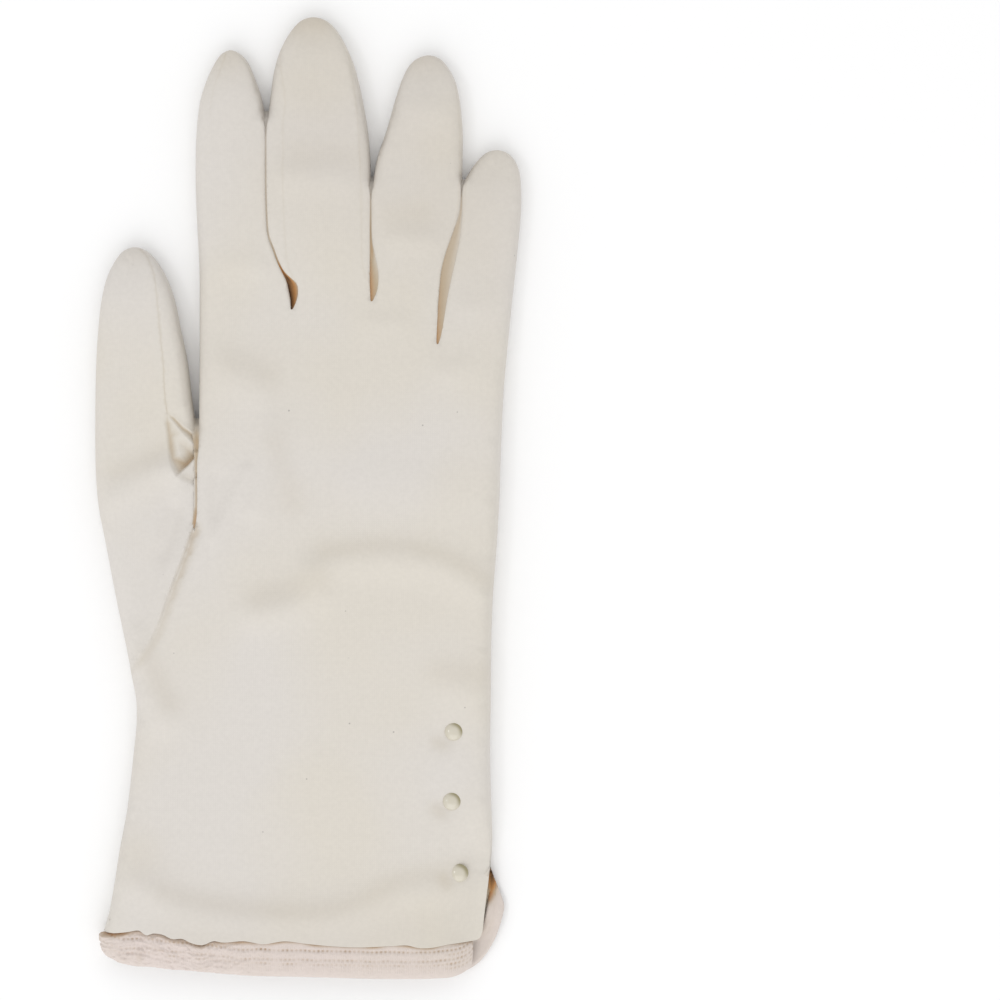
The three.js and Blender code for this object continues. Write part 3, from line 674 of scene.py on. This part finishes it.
# The free edge of the cloth runs from the top of the vent down the back's side of it, along the
# hem, round the fold at the left, back along the palm's hem and up the palm's side of the vent.
back_loop = [places.find((x, y, 0))[1] for x, y in [border[-1], *back_free, border[0]]]
palm_places = tree_of(palm)
palm_loop = [palm_places.find((x, y, 0))[1] + len(back) for x, y in palm_free[::-1]]
loop = np.array(back_loop + palm_loop)
loop_point = skin[loop]
loop_normal = normals_of(skin, skin_faces)[loop]
loop_along = np.roll(loop_point, -1, axis=0) - np.roll(loop_point, 1, axis=0)
loop_out = np.cross(loop_normal, loop_along)
loop_out /= np.linalg.norm(loop_out, axis=1)[:, None]

# The hem is turned under: places across the fold, outwards from the edge and down from the face,
# and how much painted shade lies there, for the shadow line under the fold.
HEM_TURN = [(0.1, 0.03, 0), (0.2, 0.12, 0.1), (0.24, 0.3, 0.25), (0.12, 0.55, 0.35), (-0.2, 0.68, 0.3),
            (-0.8, 0.73, 0.1), (-3.2, 0.75, 0)]
# The turned edge runs out thin at the top of the vent.
to_vent_top = np.linalg.norm(loop_point[:, :2] - border[-1], axis=1)
taper = 0.1 + 0.9 * step(to_vent_top, 0, 5)[:, None]
hem_rows = [loop_point + taper * (loop_out * out - loop_normal * down) for out, down, _ in HEM_TURN]
hem_grid = np.vstack([loop, len(skin) + np.arange(len(hem_rows) * len(loop)).reshape(-1, len(loop))])
hem_grid = np.column_stack([hem_grid, hem_grid[:, 0]])
hem_faces = np.concatenate([row_faces(*pair) for pair in zip(hem_grid, hem_grid[1:])])
hem_points = np.concatenate(hem_rows)
hem_shade = np.repeat([shade_amount for *_, shade_amount in HEM_TURN], len(loop))
skin = np.concatenate([skin, hem_points])
skin_faces = np.concatenate([skin_faces, hem_faces])
skin_weave = np.concatenate([skin_weave, skin[hem_faces][:, :, :2]])
hem_vent_shade = shade_at_vent(hem_points[:, :2]) * np.tile(loop >= len(back), len(HEM_TURN))
skin_shade = np.concatenate([skin_shade, np.maximum(hem_shade, hem_vent_shade)])
skin[:, 2] = np.maximum(skin[:, 2], 0)
skin_normal = normals_of(skin, skin_faces)

# Part of the skin that the gusset of the thumb takes, inside the creases of the web.
GUSSET_PART = [place[:2] for place in [
    *WEB["left crease"][1], *WEB["lower crease"][1], (-29, 4), (-29, 14.6),
    *WEB["under the upper fold"][1][::-1]]]

# Each piece's share of the skin. The seam of a strip runs beside its finger's edge.
in_gusset = inside(middles, GUSSET_PART) & is_back
in_thumb = inside(middles, THUMB_PART) & ~in_gusset
strip_of = np.full(len(middles), -1)
for side, most in ((is_back, STRIP_BACK_WIDTH), (~is_back, STRIP_PALM_WIDTH)):
    for number, (members, seam) in enumerate(zip(strip_members, strip_lines(most))):
        region = np.concatenate([border[members], seam[::-1]])
        strip_of[side & inside(middles, region)] = number // 2
in_hand = np.append(~(in_gusset | in_thumb | (strip_of >= 0)), np.ones(len(hem_faces), bool))

CLOTH = 0.35              # thickness of the silk


def walled(points, faces, normals, weave, shade_values, thick):
    """A sheet as a closed wall: its outer face, its inner face, and a rim along its free edges."""
    count = len(points)
    start, end = faces.ravel(), np.roll(faces, -1, axis=1).ravel()
    free = ~np.isin(start * count + end, end * count + start)
    start, end = start[free], end[free]
    rim = np.concatenate([np.stack([end, start, start + count], axis=1),
                          np.stack([end, start + count, end + count], axis=1)])
    place = np.zeros((count, 2))
    place[faces.ravel()] = weave.reshape(-1, 2)
    return (np.concatenate([points, points - normals * thick]),
            np.concatenate([faces, faces[:, ::-1] + count, rim]),
            np.concatenate([weave, weave[:, ::-1], place[rim % count]]),
            np.concatenate([shade_values, shade_values]),
            np.concatenate([normals[faces], -normals[faces[:, ::-1]], np.zeros((len(rim), 3, 3))]))


def piece_from(name, points, faces, weave, shade_values, shading=None):
    """A piece of its own from points in mm, smooth, with its weave map and its painted shade.

    Its shading normals are given where it is cut from the skin, so that no cut shows as a line.
    """
    bpy.ops.object.select_all(action="DESELECT")
    mesh = bpy.data.meshes.new(name)
    mesh.from_pydata((points * MM).tolist(), [], faces.tolist())
    attribute = mesh.attributes.new("painted_shade", "FLOAT", "POINT")
    attribute.data.foreach_set("value", shade_values.astype(np.float32))
    layer = mesh.uv_layers.new(name="weave")
    layer.data.foreach_set("uv", (weave * MM).astype(np.float32).ravel())
    piece = bpy.data.objects.new(name, mesh)
    bpy.context.collection.objects.link(piece)
    bpy.context.view_layer.objects.active = piece
    piece.select_set(True)
    bpy.ops.object.shade_smooth()
    if shading is not None:
        mesh.normals_split_custom_set(shading.reshape(-1, 3).tolist())
    return piece


def cut_piece(name, chosen, fold=None):
    """The chosen faces of the skin as a piece, with the fold between two legs where it has one."""
    used, index = np.unique(skin_faces[chosen], return_inverse=True)
    parts = walled(skin[used], index.reshape(-1, 3), skin_normal[used], skin_weave[chosen],
                   skin_shade[used], CLOTH)
    if fold:
        points, faces, shade_amount = fold_between(*fold)
        sewn = walled(points, faces, normals_of(points, faces), points[faces][:, :, :2], shade_amount, CLOTH)
        shift = (0, len(parts[0]), 0, 0, 0)
        parts = [np.concatenate([own, added + more]) for own, added, more in zip(parts, sewn, shift)]
    return piece_from(name, *parts)


def linear(colour):
    """An sRGB hex colour as the linear values that a shader takes."""
    parts = [int(colour[i:i + 2], 16) / 255 for i in (1, 3, 5)]
    return (*[c / 12.92 if c <= 0.04045 else ((c + 0.055) / 1.055) ** 2.4 for c in parts], 1)


def add(tree, kind, inputs=None, output=0, **settings):
    """Adds a node with its settings, links or sets its inputs, and gives one of its outputs."""
    node = tree.nodes.new("ShaderNode" + kind)
    for name, value in settings.items():
        setattr(node, name, value)
    for name, value in (inputs or {}).items():
        if isinstance(value, bpy.types.NodeSocket):
            tree.links.new(value, node.inputs[name])
        else:
            node.inputs[name].default_value = value
    return node.outputs[output]


# Fine silk jersey: matt, with a faint bloom at grazing angles. Its wales are about 0.45 mm apart,
# and are drawn at 0.6 mm so that they just show in the picture.
WALE = 0.6
COURSE = 0.5
DRIFT = 45                # size of the clouds in which its two tones change
MOTTLE = 1.1              # and of its fine mottling
SPECKS_APART = 9          # cells that hold one small dark speck each
# Tints of painted shade over the silk's own colour, from faint grey through tan and orange to dark
# brown where the shade is deepest.
SHADE_TINTS = [(0, "#ffffff"), (0.12, "#f6f4f0"), (0.35, "#dacbb5"), (0.6, "#d7a067"), (1, "#382a21")]


def knitted_silk(name, light, warm):
    """Silk jersey in two tones that drift over the glove, with flecks, a few specks, its wales and painted
    shade.
    """
    material = bpy.data.materials.new(name)
    material.use_nodes = True
    tree = material.node_tree
    shader = tree.nodes["Principled BSDF"]
    place = add(tree, "TexCoord", output="Object")
    painted_shade = add(tree, "Attribute", output="Fac", attribute_name="painted_shade")
    drift = add(tree, "TexNoise", {"Vector": place, "Scale": 1 / (DRIFT * MM), "Detail": 1.5})
    tone = add(tree, "MapRange", {"Value": drift, "From Min": 0.38, "From Max": 0.62})
    cloth = add(tree, "Mix", {0: tone, 6: linear(light), 7: linear(warm)}, 2, data_type="RGBA")
    mottle = add(tree, "TexNoise", {"Vector": place, "Scale": 1 / (MOTTLE * MM), "Detail": 3})
    fleck = add(tree, "MapRange", {
        "Value": mottle, "From Min": 0.3, "From Max": 0.7, "To Min": 0.975, "To Max": 1.015})
    cells = add(tree, "TexVoronoi", {"Vector": place, "Scale": 1 / (SPECKS_APART * MM)})
    speck = add(tree, "MapRange", {
        "Value": cells, "From Min": 0.018, "From Max": 0.032, "To Min": 0.62, "To Max": 1})
    marks = add(tree, "Math", {0: fleck, 1: speck}, operation="MULTIPLY")
    marked = add(tree, "Mix", {0: 1.0, 6: cloth, 7: marks}, 2, data_type="RGBA", blend_type="MULTIPLY")
    # Painted shade from the points' attribute, tinted through the ramp and multiplied over the silk.
    shade_ramp = add(tree, "ValToRGB", {"Fac": painted_shade})
    ramp = shade_ramp.node.color_ramp.elements
    for number, (at, tint) in enumerate(SHADE_TINTS):
        if 0 < number < len(SHADE_TINTS) - 1:
            ramp.new(at)
        ramp[number].position = at
        ramp[number].color = linear(tint)
    shaded_colour = add(tree, "Mix", {0: 1.0, 6: marked, 7: shade_ramp}, 2, data_type="RGBA", blend_type="MULTIPLY")
    tree.links.new(shaded_colour, shader.inputs["Base Color"])

    weave = add(tree, "UVMap", uv_map="weave")
    across = add(tree, "SeparateXYZ", {"Vector": weave})
    wale = add(tree, "Math", {0: across, 1: 1 / (WALE * MM)}, operation="MULTIPLY")
    turn = add(tree, "Math", {0: wale}, operation="FRACT")
    from_mid = add(tree, "Math", {0: turn, 1: 0.5}, operation="SUBTRACT")
    leg = add(tree, "Math", {0: from_mid}, operation="ABSOLUTE")
    course = add(tree, "Math", {0: across.node.outputs["Y"], 1: 1 / (COURSE * MM), 2: leg},
                 operation="MULTIPLY_ADD")
    circle = add(tree, "Math", {0: course, 1: math.tau}, operation="MULTIPLY")
    loops = add(tree, "Math", {0: circle}, operation="SINE")
    ribs = add(tree, "Math", {0: leg, 1: -3.0, 2: loops}, operation="MULTIPLY_ADD")
    bump = add(tree, "Bump", {"Height": ribs, "Strength": 0.2, "Distance": 0.02 * MM})
    tree.links.new(bump, shader.inputs["Normal"])
    shader.inputs["Roughness"].default_value = 0.8
    shader.inputs["Specular IOR Level"].default_value = 0.3
    shader.inputs["Sheen Weight"].default_value = 0.12
    shader.inputs["Sheen Roughness"].default_value = 0.5
    return material


silk = knitted_silk("silk jersey", "#d6d1cb", "#d6d0c6")
trank = cut_piece("silk_hand", in_hand)
trank.data.materials.append(silk)
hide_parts("hand")
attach(trank, "root")

# Thumb, set in: cut apart from the hand in the same silk and sewn into it along a curved seam, with
# a second seam up its back.
thumb = cut_piece("silk_thumb", np.flatnonzero(in_thumb))
thumb.data.materials.append(silk)
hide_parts("thumb")
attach(thumb, "root")

# Gusset of the thumb: a small folded piece of the same silk, sewn into the web between thumb and
# hand so that the thumb can spread. As the glove lies it is creased into a few small facets, and
# its edge runs down the narrow gap beside the thumb.

# The folds that close the gaps between two legs of the glove.
FOLD_STEP = 0.4
FOLD_ACROSS = 11          # points across a fold
FOLD_SEWN = 0.25          # how far it reaches into the sides


def along_leg(leg, ys):
    """How far across the glove an edge lies, and its rounding, at places along it."""
    members = np.flatnonzero(border_leg == leg)
    members = members[np.argsort(border[members, 1])]
    return (np.interp(ys, border[members, 1], border[members, 0]),
            np.interp(ys, border[members, 1], border_round[members]))


def fold_between(left, right, rows):
    """The fold that closes the gap between two legs: its points, faces and painted shade."""
    table = np.array([(y, *deep, *shade_amount) for y, deep, shade_amount in rows])
    ys = np.arange(table[0, 0], table[-1, 0], FOLD_STEP)
    values = np.stack([np.interp(ys, table[:, 0], column) for column in table.T[1:]], axis=1)
    deep, shade_amount = values[:, :3], values[:, 3:]
    (left_x, left_round), (right_x, right_round) = along_leg(left, ys), along_leg(right, ys)
    rise = full_height(np.column_stack([(left_x + right_x) / 2, ys])) - SIDE_LEVEL
    level = np.clip(1 - deep[:, [0, 2]] / rise[:, None], 0, 1)
    reach = 1 - (1 - level**ROUNDNESS) ** (1 / ROUNDNESS)
    left_x = left_x - left_round * reach[:, 0] - FOLD_SEWN
    right_x = right_x + right_round * reach[:, 1] + FOLD_SEWN
    share = np.linspace(0, 1, FOLD_ACROSS)
    x = left_x[:, None] + (right_x - left_x)[:, None] * share
    z = SIDE_LEVEL + rise[:, None] - np.array([np.interp(share, (0, 0.5, 1), row) for row in deep])
    points = np.stack([x, np.repeat(ys[:, None], FOLD_ACROSS, axis=1), z], axis=2).reshape(-1, 3)
    grid = np.arange(len(points)).reshape(-1, FOLD_ACROSS)
    faces = np.concatenate([row_faces(*pair) for pair in zip(grid, grid[1:])])
    return points, faces, np.array([np.interp(share, (0, 0.5, 1), row) for row in shade_amount]).ravel()


# A fold, at places along its gap: its depth below the back at its left side, middle and right
# side, and how much painted shade it has there. Each goes down out of sight as its gap opens.
DOWN = ((3, 3.2, 3), (0, 0.05, 0))
AT_FLOOR = ((6.6, 6.8, 6.6), (0, 0.05, 0))
GUSSET_GAP = ("thumb, inner side", "index, outer side", [
    (-8.8, (0.3, 0.5, 0.4), (0.35, 0.42, 0.35)), (-7, (0.25, 0.5, 0.25), (0.35, 0.46, 0.38)),
    (-4, (0.2, 0.45, 0.2), (0.25, 0.42, 0.3)), (-2.5, (0.2, 0.4, 0.2), (0.08, 0.34, 0.15)),
    (4, (0.2, 0.45, 0.2), (0.08, 0.34, 0.12)), (7, (0.3, 0.5, 0.2), (0.15, 0.36, 0.15)),
    (11, (0.9, 0.9, 0.3), (0.25, 0.36, 0.15)), (15, (0.9, 0.9, 0.4), (0.3, 0.4, 0.2)),
    (17, (1.2, 1.6, 1), (0.15, 0.3, 0.1)), (19, DOWN[0], (0.05, 0.12, 0.05)),
    (21.5, *AT_FLOOR)])
gusset = cut_piece("web_gusset", np.flatnonzero(in_gusset), GUSSET_GAP)
gusset.data.materials.append(silk)
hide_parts("thumb_gusset")
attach(gusset, "root")

# Strips between the fingers: a narrow piece of silk for each pair of fingers, folded into a V at
# the crotch and sewn to the back and the palm of both fingers. Their folds lie in shade, painted
# tan in the silk's colour, and dark brown at the first crotch.
# How the folds lie where two fingers touch, and where these begin to part.
TOUCHING = (0.2, 0.55, 0.2)
OPENING = ((0.9, 1.2, 0.9), (0.04, 0.15, 0.04))
STRIP_GAPS = {
    "fourchette_index_middle": ("index, inner side", "middle, index side", [
        (50, (1.6, 1.4, 0.4), (1, 0.8, 0.5)), (51.5, (2.4, 1.8, 0.5), (1, 0.74, 0.34)),
        (55, (2.4, 1.7, 0.5), (1, 0.68, 0.36)), (57, (1.6, 1.3, 0.4), (1, 0.74, 0.34)),
        (58.6, (0.4, 0.9, 0.3), (0.8, 0.95, 0.3)), (60.5, (0.25, 0.7, 0.2), (0.3, 0.8, 0.15)),
        (63.5, TOUCHING, (0.08, 0.45, 0.08)), (69, TOUCHING, (0.04, 0.28, 0.04)),
        (97, TOUCHING, (0.04, 0.2, 0.04)), (99.5, *OPENING), (102, *DOWN), (104.5, *AT_FLOOR)]),
    "fourchette_middle_ring": ("middle, ring side", "ring, middle side", [
        (52.4, (0.5, 0.5, 0.2), (0.6, 0.5, 0.4)), (54, (0.8, 0.6, 0.2), (0.6, 0.44, 0.34)),
        (58, (0.9, 0.5, 0.15), (0.55, 0.38, 0.28)), (63, (0.9, 0.5, 0.15), (0.5, 0.32, 0.15)),
        (66, (0.5, 0.7, 0.2), (0.3, 0.45, 0.12)), (72, TOUCHING, (0.1, 0.4, 0.08)),
        (79.5, TOUCHING, (0.04, 0.25, 0.04)), (82, *OPENING), (84.5, *DOWN), (87, *AT_FLOOR)]),
    "fourchette_ring_little": ("ring, little side", "little, ring side", [
        (40.7, (0.5, 0.5, 0.2), (0.6, 0.5, 0.4)), (43, (0.6, 0.4, 0.15), (0.55, 0.45, 0.38)),
        (47, (0.6, 0.35, 0.12), (0.46, 0.38, 0.32)), (60, (0.6, 0.35, 0.12), (0.36, 0.32, 0.22)),
        (72, (0.5, 0.45, 0.12), (0.3, 0.3, 0.14)), (76, (0.3, 0.55, 0.2), (0.12, 0.3, 0.08)),
        (80.6, TOUCHING, (0.06, 0.25, 0.05)), (82.6, *OPENING), (84.4, *DOWN), (86.2, *AT_FLOOR)]),
}
for number, (node, gap) in enumerate(STRIP_GAPS.items()):
    strip = cut_piece(node.replace("fourchette", "strip"), np.flatnonzero(strip_of == number), gap)
    strip.data.materials.append(silk)
    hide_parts(node)
    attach(strip, "root")

# Ribbed hem: a knitted band, warmer in tone than the silk, sewn under the turned hem so that it
# shows below it. It is open at the vent, and runs up the vent's palm side as a smooth narrow strip.
# Its stitches lie in rows along it, with small holes between them.
BAND_START = 45.2         # how far to the right the band reaches on the back
BAND_UNDER = 3.2          # how far it reaches up under the hem
VENT_UNDER = 2.2          # and at the vent
BAND_HALF = 0.55          # half its thickness
BAND_GRAIN = 0.15         # spacing of its mesh along it
PALM_BAND_GRAIN = 0.25    # and on the palm side, from this far past its fold
PAST_FOLD = 6
RIB = 0.6                 # from one rib to the next, with a hole at every second one
RIB_HIGH = 0.08
HOLE_WIDE = 0.34
# Rows of holes: how far above the band's low edge each lies, how deep its holes are along the
# band, and how deep at its right end, where it is stretched.
HOLE_ROWS = [(8.5, 0.06, 0.4), (7.4, 0.5, 0.6), (6.2, 0.1, 0.5), (4.9, 0.34, 0.6), (3.7, 0.28, 0.5),
             (2.5, 0.08, 0.4)]
# Its waves: how close they lie across it against along it, their size, and their height where the
# band is crumpled.
WAVES = [(1.5, 4.5, 0.34), (2.4, 1.9, 0.26), (1.3, 0.75, 0.14)]
BAND_LOW_EDGE = [
    (-55.1, -122.4), (-54, -123.8), (-52, -124.7), (-50, -125.3), (-47, -126), (-42, -126.3),
    (-37.5, -126.9), (-30, -127.4), (-24, -128), (-16.7, -128.6), (0, -129), (20, -129.5),
    (35.6, -129.4), (40, -129), (43, -128), (44.6, -126.8), (45.6, -125.2),
]
# Where the band turns the corner and runs up the vent: places on the silk's edge and on its own.
BAND_TURN = [
    ((40, -120), (40.6, -129)), ((42, -120), (43, -128.4)), ((46, -119.6), (47, -125.6)),
    ((48.4, -117.8), (50.4, -120.2)), ((49.8, -114), (52.2, -114.8)), ((50.4, -109), (53.2, -110.6)),
    ((50.2, -104), (51.3, -105.8)), ((49.5, -101.2), (49.9, -102.4)),
]
first = next(i for i, p in enumerate(loop_point) if p[0] <= BAND_START and p[1] < -115)
on_hem = np.arange(first, len(loop) - 2)
travelled = np.append(0, np.cumsum(np.linalg.norm(np.diff(loop_point[on_hem], axis=0), axis=1)))
fold_at = travelled[np.flatnonzero(loop[on_hem] == 0)[0]]
stations = np.concatenate([np.arange(0, fold_at + PAST_FOLD, BAND_GRAIN),
                           np.arange(fold_at + PAST_FOLD, travelled[-1], PALM_BAND_GRAIN)])
frames = np.column_stack([loop_point, loop_normal])[on_hem]
frames = evened(np.stack([np.interp(stations, travelled, column) for column in frames.T], axis=1), 45)
hem_line = frames[:, :3]
hem_normal = frames[:, 3:] / np.linalg.norm(frames[:, 3:], axis=1)[:, None]
low_edge = smooth_line(BAND_LOW_EDGE)
band_edge = np.column_stack([hem_line[:, 0], np.interp(hem_line[:, 0], low_edge[:, 0], low_edge[:, 1])])
on_palm = stations > fold_at
turn_from, turn_to = np.array(BAND_TURN).transpose(1, 0, 2)
turn_at = [stations[on_palm][np.linalg.norm(hem_line[on_palm, :2] - a, axis=1).argmin()] for a in turn_from]
turning = stations > turn_at[0]
for k in (0, 1):
    band_edge[turning, k] = np.interp(stations[turning], turn_at, turn_to[:, k])
band_edge = evened(band_edge, 25)
band_run = np.column_stack([band_edge - hem_line[:, :2], np.zeros(len(stations))])
band_wide = np.linalg.norm(band_run, axis=1)
band_run /= band_wide[:, None]
to_vent = step(stations, turn_at[4], turn_at[-1])
band_under = np.where(turning, VENT_UNDER * (1 - 0.2 * to_vent), BAND_UNDER)
side_fold = abs(hem_normal[:, 0])

# Rows along the band: the outer face from its top edge to its low edge, then the inner face back.
along_band = np.column_stack([stations, stations * 0])
uneven = wander(hem_line[:, :2], 5, 11)
stitches = np.clip(0.85 + 0.4 * wander(along_band, 3.1, 12), 0.15, 1.3)
stitches *= 1 - step(stations, turn_at[0] - 6, turn_at[0] + 2)
crumpled = step(-hem_line[:, 0], 5, 30) * (stations < fold_at + 4)
pressed_end = 0.35 * bell(stations, 4)
stretched = bell(stations, 8)
thin_ends = (1 - 0.7 * bell(stations, 0.9)) * (1 - 0.5 * to_vent)
outer = [-band_under * share for share in np.linspace(1, 0, 7)[:-1]]
outer += [band_wide * share for share in np.linspace(0, 1, 46)]
inner = [band_wide * share - band_under * (1 - share) for share in np.linspace(1, 0, 14)[1:-1]]
band_rows = []
band_places = []
band_shade = []
for face, rows in ((1, outer), (-1, inner)):
    for a in rows:
        share = (a + band_under) / (band_wide + band_under)
        up = band_wide - a
        # How deep the band's middle lies: it comes forward below the silk's edge, then sinks away.
        middle_depth = 0.85 + BAND_HALF - 0.7 * step(a, -0.3, 0.4) + 0.8 * (np.clip(a, 0, 20) / 8.5) ** 2
        middle_depth += 0.5 * crumpled * bell(a - 0.3, 0.7)
        middle_depth -= 0.6 * turning * bell(stations - turn_at[2], 6)
        middle_depth = middle_depth * (1 - 0.8 * to_vent) - 0.35 * to_vent
        bulge = side_fold * 1.7 * step(a, 0, 1.6) * (1 - 0.5 * step(a, 3, 8))
        half = BAND_HALF * np.sqrt(np.clip(1 - (abs(share - 0.5) * 2) ** 14, 0, 1)) * thin_ends
        row_up = up + (0.2 + 0.9 * crumpled) * uneven
        shown = step(a, 0.3, 1) * step(up, 0.6, 2)
        relief = RIB_HIGH * np.cos(math.tau * stations / RIB) * stitches * shown * (1 - 0.4 * crumpled)
        hole = np.zeros(len(stations))
        for number, (row_place, usual_deep, end_deep) in enumerate(HOLE_ROWS):
            deep = usual_deep + (end_deep - usual_deep) * stretched
            between = (0.5 - 0.5 * np.cos(math.tau * (stations / (2 * RIB) + 0.5 * (number // 2)))) ** 1.5
            line = bell(row_up - row_place, HOLE_WIDE) * step(a, 0.2, 0.8)
            fade = np.clip(0.85 + 0.9 * wander(along_band, 4, 20 + number), 0.15, 1.3)
            hole += line * deep * (0.25 + 0.75 * between) * stitches * fade * (1 - 0.3 * crumpled)
            over_row = bell(row_up - row_place + 1, 0.45)
            relief += 0.3 * usual_deep * over_row * step(a, 0.2, 0.8)
        waves = sum(wander(np.column_stack([stations, a * close]), size, seed) * (0.08 + worn * crumpled)
                    for seed, (close, size, worn) in enumerate(WAVES, 13))
        waves *= step(a, 0, 1.4)
        thick = face * (half + (relief - hole) * (half / BAND_HALF))
        depth = middle_depth + pressed_end - bulge - waves - thick
        band_rows.append(hem_line + band_run * a[:, None] - hem_normal * depth[:, None])
        band_places.append(np.column_stack([stations, a]))
        # Painted shade: a shadow line under the silk's turned edge, and shade in the band's holes and pits.
        shadow_under_hem = (0.34 + 0.1 * crumpled) * (1 - step(a, 0.3, 1.2 + 0.8 * crumpled))
        shadow_under_hem *= (0.7 + 0.8 * uneven) * (1 - 0.7 * turning)
        shade_in_pits = 0.3 * np.clip(waves - 0.12, 0, 1) * crumpled
        band_shade.append(np.clip(hole * 0.8 + shadow_under_hem + shade_in_pits, 0, 0.55))
count = len(stations)
around = len(band_rows)
band_points = np.concatenate(band_rows)
band_places = np.concatenate(band_places)
band_shade = np.maximum(np.concatenate(band_shade), shade_at_vent(band_points[:, :2]))
band_grid = np.arange(around * count).reshape(around, count)
band_faces = [row_faces(*pair)[:, ::-1] for pair in zip(band_grid, np.roll(band_grid, -1, axis=0))]
for end in (0, count - 1):
    ring = band_grid[:, end]
    cap = np.stack([ring, np.roll(ring, -1), np.full(around, len(band_points))], axis=1)
    band_faces.append(cap if end else cap[:, ::-1])
    band_points = np.concatenate([band_points, band_points[ring].mean(0)[None]])
    band_places = np.concatenate([band_places, band_places[ring].mean(0)[None]])
    band_shade = np.append(band_shade, 0)
band_faces = np.concatenate(band_faces)
band_points[:, 2] = np.maximum(band_points[:, 2], 0.05)
ribbed = knitted_silk("ribbed silk knit", "#d7cbc5", "#d5cac2")
hem = piece_from("ribbed_hem", band_points, band_faces, band_places[band_faces], band_shade)
bpy.ops.object.mode_set(mode="EDIT")
bpy.ops.mesh.select_all(action="SELECT")
bpy.ops.mesh.normals_make_consistent(inside=False)
bpy.ops.object.mode_set(mode="OBJECT")
hem.data.materials.append(ribbed)
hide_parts("hem_band")
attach(hem, "root")

# Pearl buttons: three small cream-coloured domes of pearl, sewn on the back beside the vent and
# half sunk in the silk.
PEARL_WIDE = 4.9
PEARL_HIGH = 2
# Where each lies, and how far its middle lies above the silk under it.
PEARLS = {"pearl_button_1": (39.4, -63, 0), "pearl_button_2": (38.9, -81.7, 0),
          "pearl_button_3": (40.9, -101.1, 0.3)}
PEARL_SHADED_SIDE = (0.75, 0.66)  # direction of the side of each pearl that gets painted shade

# Pearl: glossy, with a soft nacre layer under a clear one, so that highlights are small and bright.
# Painted shade darkens each pearl in an olive tint on its upper right side.
shell = bpy.data.materials.new("cream pearl")
shell.use_nodes = True
nacre = shell.node_tree
shell_place = add(nacre, "TexCoord", output="Object")
cloudy = add(nacre, "TexNoise", {"Vector": shell_place, "Scale": 1 / (2.4 * MM), "Detail": 2})
body = add(nacre, "Mix", {0: cloudy, 6: linear("#cec8ba"), 7: linear("#c5beab")}, 2, data_type="RGBA")
pearl_shade = add(nacre, "Attribute", output="Fac", attribute_name="pearl_shade")
shaded_pearl_colour = add(nacre, "Mix", {0: pearl_shade, 6: body, 7: linear("#948b68")}, 2, data_type="RGBA")
face = nacre.nodes["Principled BSDF"]
nacre.links.new(shaded_pearl_colour, face.inputs["Base Color"])
face.inputs["Roughness"].default_value = 0.3
face.inputs["Coat Weight"].default_value = 0.8
face.inputs["Coat Roughness"].default_value = 0.08

for number, (node, (x, y, lift)) in enumerate(PEARLS.items(), 1):
    bpy.ops.object.select_all(action="DESELECT")
    seat = back_z[places.find((x, y, 0))[1]]
    bpy.ops.mesh.primitive_uv_sphere_add(segments=48, ring_count=24, radius=PEARL_WIDE / 2 * MM,
                                         location=(x * MM, y * MM, (seat + lift) * MM))
    pearl = bpy.context.active_object
    pearl.name = f"pearl_{number}"
    bpy.ops.object.mode_set(mode="EDIT")
    bpy.ops.mesh.select_all(action="SELECT")
    bpy.ops.transform.resize(value=(1, 1, PEARL_HIGH / PEARL_WIDE))
    bpy.ops.object.mode_set(mode="OBJECT")
    bpy.ops.object.transform_apply(location=True, rotation=True, scale=True)
    bpy.ops.object.shade_smooth()
    # Painted shade on the side of each pearl away from the lamps, towards its rim.
    spots = np.array([v.co[:2] for v in pearl.data.vertices]) / MM - (x, y)
    toward_shaded_side = spots @ PEARL_SHADED_SIDE / (PEARL_WIDE / 2)
    rim = np.linalg.norm(spots, axis=1) / (PEARL_WIDE / 2)
    pearl_shade_mask = pearl.data.attributes.new("pearl_shade", "FLOAT", "POINT")
    pearl_shade_mask.data.foreach_set("value", (step(toward_shaded_side, 0, 0.8) * step(rim, 0.35, 0.85)).astype(np.float32))
    pearl.data.materials.append(shell)
    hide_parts(node)
    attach(pearl, "root")

# Floor and light: a plain white table top, a bright even studio round it, one large soft lamp at
# the bottom of the picture and a small one at its left.
FLOOR_SIZE = 6
FLOOR_GAP = 0.02 * MM     # the floor lies this little under the glove, so that the two don't flicker
bpy.ops.object.select_all(action="DESELECT")
bpy.ops.mesh.primitive_plane_add(size=FLOOR_SIZE, location=(0, 0, -FLOOR_GAP))
floor = bpy.context.active_object
floor.name = "floor"
paper = bpy.data.materials.new("white paper")
paper.use_nodes = True
paper.node_tree.nodes["Principled BSDF"].inputs["Base Color"].default_value = linear("#f9f9f9")
paper.node_tree.nodes["Principled BSDF"].inputs["Roughness"].default_value = 0.9
floor.data.materials.append(paper)

# Lamps: power, size and place. The small one gives the pearls their highlights.
LAMPS = {"soft lamp": (33, 3, (-0.24, -2.36, 2.2)), "small lamp": (0.8, 0.12, (-0.7, -0.1, 1.2))}
for name, (power, wide, place) in LAMPS.items():
    lamp_data = bpy.data.lights.new(name, "AREA")
    lamp_data.energy = power
    lamp_data.size = wide
    lamp = bpy.data.objects.new(name, lamp_data)
    lamp.location = place
    lamp.rotation_euler = (-Vector(place)).to_track_quat("-Z", "Y").to_euler()
    bpy.context.collection.objects.link(lamp)
studio = bpy.data.worlds.new("studio")
studio.use_nodes = True
studio.node_tree.nodes["Background"].inputs["Color"].default_value = (1, 1, 1, 1)
studio.node_tree.nodes["Background"].inputs["Strength"].default_value = 0.87
bpy.context.scene.world = studio
bpy.context.scene.view_settings.view_transform = "Standard"
